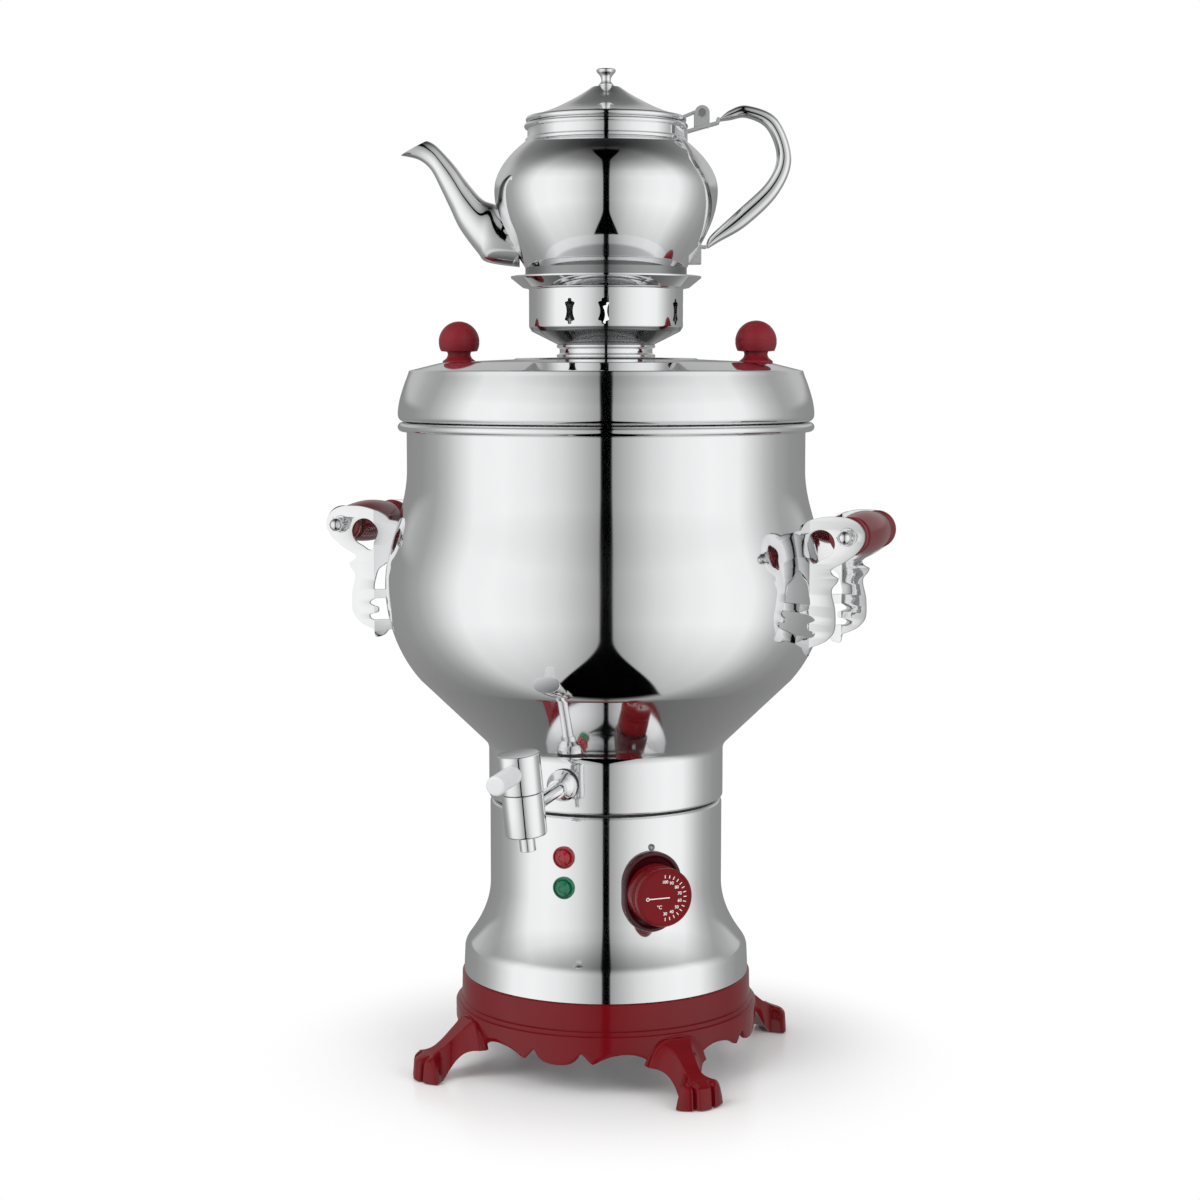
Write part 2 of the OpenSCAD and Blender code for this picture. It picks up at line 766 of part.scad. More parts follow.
module tank() {
    web_z = tank_top - bead_r;
    color(steel) rotate_extrude() {
        wall_section(belly_outline(web_z), tank_wall);
        translate([mouth_r - tank_wall, web_z - tank_wall / 2])
            square([rim_r - bead_r - mouth_r + tank_wall, tank_wall]);
        translate([rim_r - bead_r, tank_top - bead_r]) circle(r = bead_r);
    }
}

module tank_bottom() {
    color(steel) difference() {
        rotate_extrude() {
            wall_section(bottom_outline(), tank_wall);
            translate([0, tank_z]) square([neck_r - foot_edge, floor_t]);
        }
        in_tap() rotate([90, 0, 0]) translate([0, 0, -20])
            cylinder(r = thread_r + screw_gap, h = 40);
        each_element_leg() translate([0, 0, tank_z - 1])
            cylinder(r = bushing_r + screw_gap, h = floor_t + 2);
    }
}

// -------------------------------------------------------- heating element

element_r = casing_r - 26.4;
element_tube_r = 4;
element_z = tank_z + 17;
leg_half = 20;
leg_drop = 15;
bushing_r = 6;
bushing_head_r = 8;
element_gasket_t = 1.2;
bushing_head_h = 3;

module each_element_leg() {
    for (s = SIDES) rotate([0, 0, -90 + s * leg_half]) translate([0, -element_r, 0]) children();
}

module heating_element() {
    color(steel) {
        difference() {
            translate([0, 0, element_z]) rotate_extrude()
                translate([element_r, 0]) circle(r = element_tube_r, $fn = 32);
            translate([0, 0, element_z - 10]) linear_extrude(height = 20)
                polygon([[0, 0], [-BIG, BIG * tan(leg_half)], [-BIG, -BIG * tan(leg_half)]]);
        }
        each_element_leg() {
            translate([0, 0, tank_z - leg_drop + 5])
                cylinder(r = element_tube_r, h = element_z - tank_z + leg_drop - 5);
            translate([0, 0, element_z]) sphere(r = element_tube_r * ELBOW, $fn = 32);
            translate([0, 0, tank_z - leg_drop]) cylinder(r = 1.5, h = leg_drop);
        }
    }
}

module element_bushings() {
    low = tank_z - 8;
    head = tank_z + floor_t + element_gasket_t;
    color(brass) each_element_leg() difference() {
        union() {
            translate([0, 0, low]) cylinder(r = bushing_r, h = head - low);
            translate([0, 0, head]) cylinder(r = bushing_head_r, h = bushing_head_h);
        }
        translate([0, 0, low - 1]) cylinder(r = element_tube_r, h = head - low + bushing_head_h + 2);
    }
}

module element_gaskets() {
    color(bright_red) each_element_leg() translate([0, 0, tank_z + floor_t])
        ring(bushing_head_r, bushing_r, element_gasket_t);
}

module element_nuts() {
    nut_h = 4;
    color(brass) each_element_leg() translate([0, 0, tank_z - nut_h]) difference() {
        hexagon(17, nut_h);
        translate([0, 0, -1]) cylinder(r = bushing_r, h = nut_h + 2);
    }
}

// -------------------------------------------------------------------- tap

thread_r = 6;
shank_r = 4;
shank_bore_r = 2.6;
flange_r = 8.8;
washer_t = 1.4;
shank_in = -11;
wall_in = tank_wall + 0.5;
body_low = -12.4;
seam_at = 10.7;
cap_top = 31.8;
lever_at = 22.6;
plug_low = -7;
chamber_low = -9;
plug_gap = turn_gap;
nozzle_bore_r = nozzle_r - 1.3;

// The tap's own frame: -Y outward along the shank, Z along the tap's axis
module in_tap() {
    translate([0, -neck_r, tank_z + tap_h]) rotate([tap_droop, 0, 0])
        rotate([0, tap_lean, 0]) children();
}

module at_tap_axis() {
    in_tap() translate([0, -tap_reach, 0]) children();
}

// Along the shank, with +Z outward from the tank's wall
module along_shank() {
    in_tap() rotate([90, 0, 0]) children();
}

module tap_shank() {
    color(steel) along_shank() difference() {
        union() {
            translate([0, 0, shank_in]) cylinder(r = thread_r, h = 6 - shank_in);
            cylinder(r = shank_r, h = tap_reach - plug_r - 2);
        }
        translate([0, 0, shank_in - 1]) cylinder(r = shank_bore_r, h = tap_reach + 20);
    }
}

module tap_flange() {
    color(steel) along_shank() difference() {
        rotate_extrude() polygon([
            [0, washer_t], [flange_r, washer_t], [flange_r, washer_t + 1.5],
            [flange_r - 1, washer_t + 4], [flange_r - 3, washer_t + 6],
            [shank_r + 1, washer_t + 7.6], [0, washer_t + 7.6]]);
        cylinder(r = thread_r, h = 6);
        cylinder(r = shank_r, h = 20);
    }
}

module tap_washers() {
    color(rubber_black) difference() {
        along_shank() {
            translate([0, 0, -wall_in - washer_t]) ring(flange_r, thread_r, washer_t + 2);
            translate([0, 0, -2]) ring(flange_r, thread_r, washer_t + 2);
        }
        rotate_extrude() translate([neck_r - tank_wall, tank_z]) square([tank_wall, neck_h]);
    }
}

module tap_nut() {
    nut_h = 4;
    color(brass) along_shank() translate([0, 0, -wall_in - washer_t - nut_h]) difference() {
        hexagon(15, nut_h);
        translate([0, 0, -1]) cylinder(r = thread_r, h = nut_h + 2);
    }
}

module tap_body() {
    color(steel) at_tap_axis() difference() {
        union() {
            translate([0, 0, body_low]) cylinder(r = tap_r, h = seam_at - body_low);
            translate([0, 0, body_low - nozzle_l]) cylinder(r = nozzle_r, h = nozzle_l + 1);
        }
        translate([0, 0, chamber_low]) cylinder(r = plug_r + plug_gap, h = BIG);
        translate([0, 0, body_low - nozzle_l - 1]) cylinder(r = nozzle_bore_r, h = nozzle_l + 10);
        rotate([-90, 0, 0]) cylinder(r = shank_r, h = tap_r + 1);
    }
}

module tap_plug() {
    color(white_ceramic) at_tap_axis() difference() {
        translate([0, 0, plug_low]) cylinder(r = plug_r, h = cap_top - 6 - plug_low);
        translate([0, 0, plug_low - 1]) cylinder(r = nozzle_bore_r, h = 1 - plug_low);
        rotate([0, 90, 0]) cylinder(r = shank_bore_r, h = tap_r);
        for (z = seal_at) translate([0, 0, z - seal_h / 2])
            ring(plug_r + 1, plug_r - 1, seal_h);
    }
}

seal_h = 1.6;
seal_at = [4.8, 8];

module tap_seals() {
    color(rubber_black) at_tap_axis() for (z = seal_at) translate([0, 0, z - seal_h / 2])
        ring(plug_r, plug_r - 1, seal_h);
}

module tap_cap() {
    cap_low = seam_at + rest_gap;
    color(steel) at_tap_axis() difference() {
        rotate_extrude() polygon([
            [0, cap_low], [cap_r - 0.8, cap_low], [cap_r, cap_low + 0.8],
            [cap_r, cap_top - 1], [cap_r - 1, cap_top], [0, cap_top]]);
        cylinder(r = plug_r, h = cap_top - 6);
        translate([0, 0, lever_at]) rotate([90, 0, 0]) cylinder(r = lever_r, h = BIG);
    }
}

module tap_lever() {
    color(grey_plastic) at_tap_axis() difference() {
        translate([0, 0, lever_at]) rotate([90, 0, 0]) rotate_extrude() polygon([
            [0, plug_r], [lever_r, plug_r], [lever_r, lever_l - 0.8],
            [lever_r - 0.8, lever_l], [0, lever_l]]);
        cylinder(r = plug_r, h = cap_top - 6);
    }
}

// -------------------------------------------------------------------- lid

lip_drop = 8;
lip_gap = 0.5;
lid_hole_r = collar_neck_r - 3;
lid_plain_r = lid_r - lid_taper - 3;
top_r = collar_neck_r + 6;

// The lid's outside, from its lower edge to its middle hole
function lid_outline() = concat(
    [[lid_r - 1.2, lid_z], [lid_r, lid_z + 1.6], [lid_r, lid_z + 4.4]],
    [[lid_r - lid_taper, shoulder_z - 0.4], [lid_r - lid_taper - 1, shoulder_z + 1]],
    [[lid_plain_r, shoulder_z + 1.8]],
    [[lid_knob_at + 8, collar_z - lid_rise * 0.34], [top_r, collar_z], [0, collar_z]]);

module lid_envelope() {
    rotate_extrude() polygon(concat([[0, lid_z - 1]], lid_outline()));
}

module lid() {
    lip_r = bore_r - lip_gap;
    flat = [[lid_plain_r - 2, shoulder_z + 1.8 - sheet],
        [lid_knob_at + 8, collar_z - lid_rise * 0.34 - sheet], [top_r, collar_z - sheet],
        [0, collar_z - sheet]];
    color(steel) rotate([0, 0, lid_turn]) difference() {
        rotate_extrude() difference() {
            union() {
                polygon(concat([[0, lid_z]], lid_outline()));
                translate([lip_r - sheet, lid_z - lip_drop]) square([sheet, lip_drop + sheet]);
            }
            polygon(concat(
                [[0, lid_z - 1], [lip_r - sheet, lid_z - 1], [lip_r - sheet, lid_z + sheet],
                    [lid_r - sheet, lid_z + sheet + 0.4], [lid_r - sheet, lid_z + 4.4],
                    [lid_r - lid_taper - sheet, shoulder_z - 0.8]], flat));
            translate([0, collar_z - 5]) square([lid_hole_r, 10]);
        }
        for (s = SIDES) translate([s * lid_knob_at, 0, shoulder_z - 4])
            cylinder(r = knob_screw_r + screw_gap, h = 20);
    }
}

ball_z = collar_z + 9;
knob_screw_r = 2;

module lid_knobs() {
    neck = 6.5;
    foot = 9;
    foot_z = collar_z - 3.6;
    color(bright_red) rotate([0, 0, lid_turn]) difference() {
        for (s = SIDES) translate([s * lid_knob_at, 0, 0]) {
            translate([0, 0, ball_z]) sphere(r = ball_r);
            translate([0, 0, foot_z]) cylinder(r = foot, h = 2.6);
            translate([0, 0, foot_z + 2.6]) cylinder(r1 = foot, r2 = neck, h = 2);
            translate([0, 0, foot_z]) cylinder(r = neck, h = ball_z - foot_z);
        }
        lid_envelope();
        for (s = SIDES) translate([s * lid_knob_at, 0, foot_z - 1])
            cylinder(r = knob_screw_r, h = 13.5);
    }
}

module lid_knob_screws() {
    foot_z = collar_z - 3.6;
    head_z = collar_z - lid_rise * 0.34 - sheet - 1.9;
    color(dark_steel) rotate([0, 0, lid_turn]) for (s = SIDES)
        translate([s * lid_knob_at, 0, 0]) {
            translate([0, 0, head_z]) cylinder(r = knob_screw_r, h = foot_z + 12 - head_z);
            translate([0, 0, head_z]) cylinder(r = 3.8, h = 1.9);
        }
}

// ----------------------------------------------------------------- collar

cone_low = collar_z + 6;
cone_high = collar_z + 15.8;
seat_out = 3.4;
brim_rise = 5.2;

function collar_outline() = concat(
    [[collar_neck_r + 1, collar_z], [collar_neck_r + 1, collar_z + 1.4],
        [collar_neck_r, collar_z + 2.4], [collar_neck_r, cone_low - 0.6],
        [collar_neck_r + 0.8, cone_low]],
    [[collar_r - 2.4, cone_high - 2.2], [collar_r - 0.7, cone_high - 0.8], [collar_r, cone_high + 1]],
    [[collar_r, seat_z - sheet]]);

// The brim from under the seat, out and back to the wall's inner face
function brim_outline() = [
    [collar_r + seat_out, seat_z - sheet], [collar_r + brim_out, seat_z + brim_rise - 0.6],
    [collar_r + brim_out - 0.5, seat_z + brim_rise], [collar_r + seat_out - 0.4, seat_z],
    [collar_r - sheet, seat_z]];

module pot_collar() {
    spigot_r = lid_hole_r - 0.1;
    lip_z = collar_z - sheet;
    color(steel) rotate([0, 0, collar_turn]) difference() {
        rotate_extrude() {
            polygon(concat(collar_outline(), brim_outline(),
                backwards(inward(collar_outline(), sheet))));
            translate([spigot_r - sheet, collar_z])
                square([collar_neck_r + 1 - spigot_r + sheet, sheet]);
            translate([spigot_r - sheet, lip_z - sheet]) square([sheet, 2.5 * sheet]);
            translate([spigot_r - sheet, lip_z - sheet]) square([sheet + 2.4, sheet]);
        }
        for (k = [0:3], s = SIDES) facing(90 * k + s * slot_spread, cone_high + 9.4)
            translate([0, 0, collar_r - 6]) linear_extrude(height = 12) spool(slot_w, slot_h);
    }
}

slot_spread = 12.8;

// An upright slot with round ends and a narrow waist
module spool(w, h) {
    for (s = SIDES) translate([0, s * (h - w) / 2]) circle(d = w, $fn = 32);
    square([w * 0.55, h - w], center = true);
}

// ----------------------------------------------------------------- teapot

pot_foot_r = collar_r + seat_out - 1.4;
pot_neck_z = rim_z - 9;
pot_belly_z = pot_z + pot_belly_h;
pot_bead_r = 1.6;

function pot_outline() = concat(
    [[pot_foot_r - 1, pot_z], [pot_foot_r, pot_z + 1]],
    [for (i = [0:2 * ARC_STEPS]) let (t = i / (2 * ARC_STEPS))
        [pot_foot_r + (pot_r - pot_foot_r) * sin(90 * t), pot_z + 9.6 + (pot_belly_h - 9.6) * t]],
    [for (i = [1:2 * ARC_STEPS]) let (t = i / (2 * ARC_STEPS))
        [pot_r - (pot_r - pot_neck_r) * t * t, pot_belly_z + (pot_neck_z - pot_belly_z) * t]],
    [[pot_neck_r, rim_z]]);

module pot_envelope() {
    filled(pot_outline());
}

module in_pot() {
    rotate([0, 0, pot_turn]) children();
}

module pot_body() {
    hole_r = 2.2;
    hole_pitch = 6.5;
    color(steel) in_pot() difference() {
        rotate_extrude() {
            wall_section(pot_outline(), sheet);
            translate([0, pot_z]) square([pot_foot_r - 1, sheet]);
            translate([pot_neck_r + 0.2, rim_z - pot_bead_r]) circle(r = pot_bead_r, $fn = 32);
        }
        for (row = [-1:1], col = [-1:1])
            translate([-pot_r, col * hole_pitch, pot_belly_z - 22 + row * hole_pitch])
                rotate([0, 90, 0]) cylinder(r = hole_r, h = 30);
    }
}

// Rings of the spout, each by its upper point, its lower point and its width.
// Heights are counted from the teapot's foot, x from the teapot's wall outward.
function spout_rings() = [
    [[-12, 40], [-14, 10], 24], [[-2, 44.5], [4, 12.8], 25], [[6.5, 47.6], [9.5, 18], 23],
    [[14.6, 56.4], [19.4, 31.4], 20], [[21.2, 65.2], [25, 43], 17], [[26.4, 71.2], [30.4, 54.4], 14.5],
    [[31.9, 76.8], [35.6, 64.2], 12.5], [[34.9, 79], [42.4, 69.7], 11.5], [[37.3, 80], [52.2, 72], 11]];

SPOUT_SIDES = 28;

// A ring's points, with its half sizes made smaller by the wall
function spout_points(k, wall) =
    let (r = spout_rings()[k], mid = (r[0] + r[1]) / 2, up = (r[0] - r[1]) / 2,
        f = 1 - wall / norm(up))
    [for (i = [0:SPOUT_SIDES - 1]) let (a = 360 * i / SPOUT_SIDES, p = mid + up * f * cos(a))
        [-pot_r - p[0], (r[2] / 2 - wall) * sin(a), pot_z + p[1]]];

// Faces that join ring a to ring b of a list of rings
function spout_band(a, b) = [for (i = [0:SPOUT_SIDES - 1])
    let (j = (i + 1) % SPOUT_SIDES)
    each [[a * SPOUT_SIDES + i, b * SPOUT_SIDES + i, b * SPOUT_SIDES + j],
        [a * SPOUT_SIDES + i, b * SPOUT_SIDES + j, a * SPOUT_SIDES + j]]];

module pot_spout() {
    n = len(spout_rings());
    order = concat([for (k = [0:n - 1]) [k, 0]], [for (k = [n - 1:-1:0]) [k, sheet]]);
    points = [for (o = order) each spout_points(o[0], o[1])];
    faces = [for (q = [0:2 * n - 1]) each spout_band(q, (q + 1) % (2 * n))];
    color(steel) in_pot() difference() {
        polyhedron(points = points, faces = faces);
        pot_envelope();
    }
}

pin_x = pot_neck_r + 9.5;
pin_z = rim_z + 5.6;
ear_r = 4.2;
ear_t = 1.4;
tab_w = 7;
ear_gap = 0.3;
strap_t = 1.4;
strap_w = 12;
handle_top = [pot_neck_r + 19.2, rim_z + 2];
handle_low = [pot_foot_r + 11, pot_z + 20.5];

// The handle's side view, closed between its upper and lower point.
// Near the top x is counted from the upper point, below it from the teapot's belly,
// so that the grip keeps clear of the belly. Heights are counted from the foot.
function handle_outline() =
    let (x = handle_top[0], b = pot_r, z = pot_z)
    concat(
        smooth([[x, z + 92.1], [x + 14, z + 99.3], [b + 33, z + 91.9], [b + 41, z + 70.2],
            [b + 33.3, z + 50.4], [b + 15.7, z + 33.7], handle_low + [2, -0.6], handle_low]),
        smooth([handle_low + [0, 1.6], [b - 1.4, z + 29.6], [b + 15.6, z + 47.4], [b + 28, z + 58.6],
            [b + 32.5, z + 73.3], [b + 27.6, z + 86.7], [x + 14.8, z + 92.9], [x, z + 90.9]]));

module pot_handle() {
    color(steel) in_pot() rotate([90, 0, 0]) translate([0, 0, -pot_handle_w / 2])
        linear_extrude(height = pot_handle_w) polygon(handle_outline());
}

// A flat strap in the teapot's middle plane between two points
module strap(a, b, thick, width) {
    along = b - a;
    translate([a[0], 0, a[1]]) rotate([0, -atan2(along[1], along[0]), 0])
        translate([0, -width / 2, -thick / 2]) cube([norm(along), width, thick]);
}

module pot_hinge_bracket() {
    plate_z = rim_z - 12.7;
    strap_low = [pot_neck_r + 0.9, rim_z - 4.4];
    strap_high = handle_top + [-0.1, -1.3];
    rise = (strap_high[1] - strap_low[1]) / (strap_high[0] - strap_low[0]);
    color(steel) in_pot() difference() {
        union() {
            translate([pot_neck_r - 1, -strap_w / 2, plate_z]) cube([2.4, strap_w, 9]);
            strap(strap_low, strap_high, strap_t, strap_w);
            translate([handle_top[0] - 1.4, -strap_w / 2, handle_top[1] - 2])
                cube([1.4, strap_w, 3]);
            for (s = SIDES) translate([0, s * (tab_w / 2 + ear_gap + ear_t / 2) + ear_t / 2, 0])
                rotate([90, 0, 0]) linear_extrude(height = ear_t) {
                    translate([pin_x, pin_z]) circle(r = ear_r);
                    translate([pin_x - ear_r, strap_low[1] + rise * (pin_x - strap_low[0])])
                        square([2 * ear_r, pin_z - strap_low[1] - rise * (pin_x - strap_low[0])]);
                }
        }
        pot_envelope();
        translate([pin_x, 0, pin_z]) rotate([90, 0, 0])
            cylinder(r = hinge_pin_r, h = 40, center = true);
    }
}

module pot_hinge_pin() {
    half = tab_w / 2 + ear_gap + ear_t;
    color(dark_steel) in_pot() translate([pin_x, 0, pin_z]) rotate([90, 0, 0]) {
        translate([0, 0, -half]) cylinder(r = hinge_pin_r, h = 2 * half);
        for (s = SIDES) translate([0, 0, s * (half + 0.5) - 0.5]) cylinder(r = 2.4, h = 1);
    }
}

module pot_handle_foot() {
    color(steel) in_pot() difference() {
        union() {
            translate([pot_foot_r, -strap_w / 2, pot_z + 11.7]) cube([8, strap_w, 13.4]);
            translate([handle_low[0] - 8, -strap_w / 2, handle_low[1]]) cube([8, strap_w, 1.6]);
        }
        pot_envelope();
    }
}

// ------------------------------------------------------------- teapot lid

lid_bead_r = 1.7;
cover_z = rim_z + rest_gap;
cover_r = pot_neck_r + 0.9;
finial_z = cover_z + pot_cone_h + 2;
stud_hole_r = 2;

function cover_outline() = smooth([
    [cover_r - 0.6, cover_z + 3], [28.2, cover_z + pot_cone_h * 0.45],
    [16, cover_z + pot_cone_h * 0.8], [7.8, cover_z + pot_cone_h + 2]], 5);

module pot_lid() {
    skirt_drop = 6;
    skirt_out_r = pot_neck_r - sheet - 0.6;
    outline = cover_outline();
    color(steel) in_pot() difference() {
        rotate_extrude() {
            polygon(concat(outline, [[0, finial_z], [0, finial_z - sheet]],
                backwards([for (p = outline) [max(p[0] - 0.8, 0), p[1] - sheet]])));
            translate([cover_r - lid_bead_r, cover_z + lid_bead_r]) circle(r = lid_bead_r, $fn = 32);
            translate([skirt_out_r - sheet, cover_z - skirt_drop]) square([sheet, skirt_drop + 2]);
            translate([skirt_out_r - sheet, cover_z + 1]) square([cover_r - skirt_out_r - 0.8, sheet]);
        }
        translate([0, 0, finial_z - 10]) cylinder(r = stud_hole_r + screw_gap, h = 20);
    }
}

module pot_lid_tab() {
    knuckle_r = 3.2;
    tab_t = 1.4;
    tab_low = cover_z + lid_bead_r;
    color(steel) in_pot() difference() {
        union() {
            translate([pin_x, 0, pin_z]) rotate([90, 0, 0])
                cylinder(r = knuckle_r, h = tab_w, center = true);
            strap([cover_r - 2.5, cover_z + 3.2], [pin_x - 1.6, pin_z + 1.8], tab_t, tab_w);
        }
        translate([pin_x, 0, pin_z]) rotate([90, 0, 0])
            cylinder(r = hinge_pin_r + turn_gap, h = 40, center = true);
        translate([0, 0, tab_low]) rotate_extrude()
            translate([cover_r - lid_bead_r, 0]) circle(r = lid_bead_r, $fn = 32);
        rotate_extrude() polygon(concat(cover_outline(), [[0, finial_z], [0, cover_z],
            [cover_r - 0.6, cover_z]]));
    }
}

module pot_finial() {
    color(steel) in_pot() translate([0, 0, finial_z]) rotate_extrude() polygon(concat(
        [[0, -4], [stud_hole_r, -4], [stud_hole_r, 0], [3.6, 0], [4.1, 0.8], [3.6, 1.8]],
        smooth([[3.2, 3], [3.3, 5], [5.2, 7.2], [5.4, 8.6]], 4),
        [[4.6, 9.7], [0, 10]]));
}

module finial_nut() {
    nut_h = 2.4;
    color(dark_steel) in_pot() translate([0, 0, finial_z - sheet - nut_h]) difference() {
        hexagon(7, nut_h);
        translate([0, 0, -1]) cylinder(r = stud_hole_r, h = nut_h + 2);
    }
}

// ----------------------------------------------------------- side handles

grip_x = belly_r + grip_out;
grip_z = tank_z + grip_h;
bracket_y = grip_l / 2;

// A bracket's side view round the rod's centre, +x outward; its three tabs
// reach into the tank's outline, which cuts them to fit.
function bracket_outline() = concat(
    [[-60, -2.2]],
    smooth([[-34, -2.2], [-28.9, 1], [-25.1, 5.4], [-20.9, 8.2], [-13, 10.1], [-6.6, 10.4], [0, 9.9],
        [5.6, 7.4], [8.6, 3.6], [9.3, 0.3], [8.5, -3.6], [5.2, -8.2], [-1.5, -13.2], [-7.4, -16.4],
        [-9.5, -18.3]], 3),
    smooth([[-8.7, -20.2], [-5.1, -22.4], [-6.2, -25], [-8.5, -27.8], [-8.7, -31.5], [-7.1, -37.9],
        [-6.6, -43.9], [-6.9, -49.9], [-9, -53.6], [-13, -57], [-20.1, -59.9]], 3),
    smooth([[-20.9, -64.8], [-24.4, -64.1], [-27.3, -60.6], [-34, -56.4]], 3),
    [[-60, -56.4], [-60, -55.1]],
    smooth([[-20.1, -55.1], [-18, -54.3], [-17.2, -52.1], [-19.3, -51], [-21.7, -50.3], [-22, -48.8],
        [-21.7, -47.6], [-19.3, -46.6], [-17.4, -45.4], [-18, -43.9], [-20.9, -42.2]], 2),
    [[-60, -42.2], [-60, -37.6]],
    smooth([[-20.9, -37.4], [-19.5, -36.5], [-20.9, -30.4], [-22.2, -25.5], [-24.6, -23.2]], 2),
    [[-29, -18.4], [-60, -18.4]]);

module bracket_side() {
    eye = [-14.6, -4.2];
    eye_foot = [-17.6, -11.2];
    difference() {
        polygon(bracket_outline());
        circle(r = rod_r + screw_gap);
        translate(eye) circle(r = 8);
        translate(eye_foot) circle(r = 4.4);
    }
}

// A folded bracket seen from above, round the rod's centre; s picks the end
module bracket_strip(s) {
    outer = bracket_y + bracket_t;
    run = 26;
    drop = run * tan(bracket_fold);
    slant_t = bracket_t / cos(bracket_fold);
    corner = bracket_t * tan(bracket_fold / 2) - bracket_fold_at;
    side = [[20, outer], [-bracket_fold_at, outer], [-bracket_fold_at - run, outer - drop],
        [-bracket_fold_at - run, outer - drop - slant_t], [corner, bracket_y], [20, bracket_y]];
    polygon([for (p = side) [p[0], s * p[1]]]);
}

// Two folded plates, one at each end of a grip, that stand on the tank's wall
module brackets() {
    color(steel) difference() {
        translate([grip_x, 0, grip_z]) intersection() {
            translate([0, 0, -90]) linear_extrude(height = 120)
                for (s = SIDES) bracket_strip(s);
            rotate([90, 0, 0]) linear_extrude(height = 2 * (bracket_y + bracket_t) + 10, center = true)
                bracket_side();
        }
        belly_envelope();
    }
}

module brackets_left() {
    mirror([1, 0, 0]) brackets();
}

module brackets_right() {
    brackets();
}

// A turned grip with a ring and a groove at each end, along Y
module grip() {
    ring_r = 10.6;
    groove_r = 8.8;
    barrel_r = 10;
    half = grip_l / 2;
    side = concat(
        [[rod_r + screw_gap, half], [ring_r - 0.7, half], [ring_r, half - 1], [ring_r - 0.2, half - 3],
            [9.6, half - 3.6], [9.9, half - 4.4], [9.7, half - 5.6], [groove_r + 0.2, half - 6.2],
            [groove_r, half - 9]],
        [for (i = [0:ARC_STEPS]) let (t = i / ARC_STEPS)
            [barrel_r + (grip_r - barrel_r) * sin(90 * t), (half - 9.5) * (1 - t)]]);
    other = [for (p = backwards(side)) [p[0], -p[1]]];
    color(grip_red) translate([grip_x, 0, grip_z]) rotate([90, 0, 0])
        rotate_extrude() polygon(concat(side, [for (i = [1:len(other) - 1]) other[i]]));
}

module grip_left() {
    mirror([1, 0, 0]) grip();
}

module grip_right() {
    grip();
}

module each_grip_end() {
    for (x = SIDES, s = SIDES) translate([x * grip_x, 0, grip_z])
        rotate([s * 90, 0, 0]) translate([0, 0, bracket_y + bracket_t]) children();
}

washer_thick = 1.2;
nut_flat_h = 5.6;

module grip_rods() {
    reach = bracket_y + bracket_t + washer_thick + nut_flat_h;
    color(dark_steel) for (x = SIDES) translate([x * grip_x, 0, grip_z]) rotate([90, 0, 0])
        cylinder(r = rod_r, h = 2 * reach, center = true);
}

module grip_nuts() {
    color(steel) each_grip_end() {
        ring(5, rod_r + screw_gap, washer_thick);
        translate([0, 0, washer_thick]) difference() {
            union() {
                hexagon(8, nut_flat_h);
                intersection() {
                    translate([0, 0, nut_flat_h - 0.6]) sphere(r = 3.75);
                    translate([0, 0, nut_flat_h - 0.6]) cylinder(r = 4, h = 6);
                }
            }
            translate([0, 0, -1]) cylinder(r = rod_r, h = nut_flat_h + 1);
        }
    }
}

base();
foot_pads();
bottom_plate();
tie_studs();
stud_nuts();
casing();
seam_gasket();
power_inlet();
inlet_pins();
inlet_screws();
terminal_block();
wiring();
thermostat();
thermostat_shaft();
thermostat_screws();
sensor_bulb();
bulb_clip();
thermal_cutout();
knob();
knob_bezel();
dial_marker();
red_lamp_lens();
green_lamp_lens();
lamp_bodies();
lamp_clips();
tank();
tank_bottom();
heating_element();
element_bushings();
element_gaskets();
element_nuts();
tap_shank();
tap_flange();
tap_washers();
tap_nut();
tap_body();
tap_plug();
tap_seals();
tap_cap();
tap_lever();
lid();
lid_knobs();
lid_knob_screws();
pot_collar();
pot_body();
pot_spout();
pot_handle();
pot_hinge_bracket();
pot_handle_foot();
pot_hinge_pin();
pot_lid();
pot_lid_tab();
pot_finial();
finial_nut();
brackets_left();
brackets_right();
grip_left();
grip_right();
grip_rods();
grip_nuts();
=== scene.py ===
"""Looks of an electric samovar with a teapot on its lid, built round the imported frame.

Lengths are metres, written as millimetres times MM. Z is up and the floor is z = 0.
The tap points along -Y and the side handles stand on X. A bearing is counted from -Y
towards +X, seen from above. Every surface is worked out as a whole numpy array.
"""

import json
import logging
import math
from collections.abc import Iterator
from contextlib import contextmanager
from dataclasses import dataclass
from enum import Enum

import bmesh
import bpy
import numpy as np
from bmesh.types import BMesh
from bpy.types import Curve, ID, Material, Mesh, Node, NodeSocket, NodeTree, Object
from mathutils import Matrix, Vector

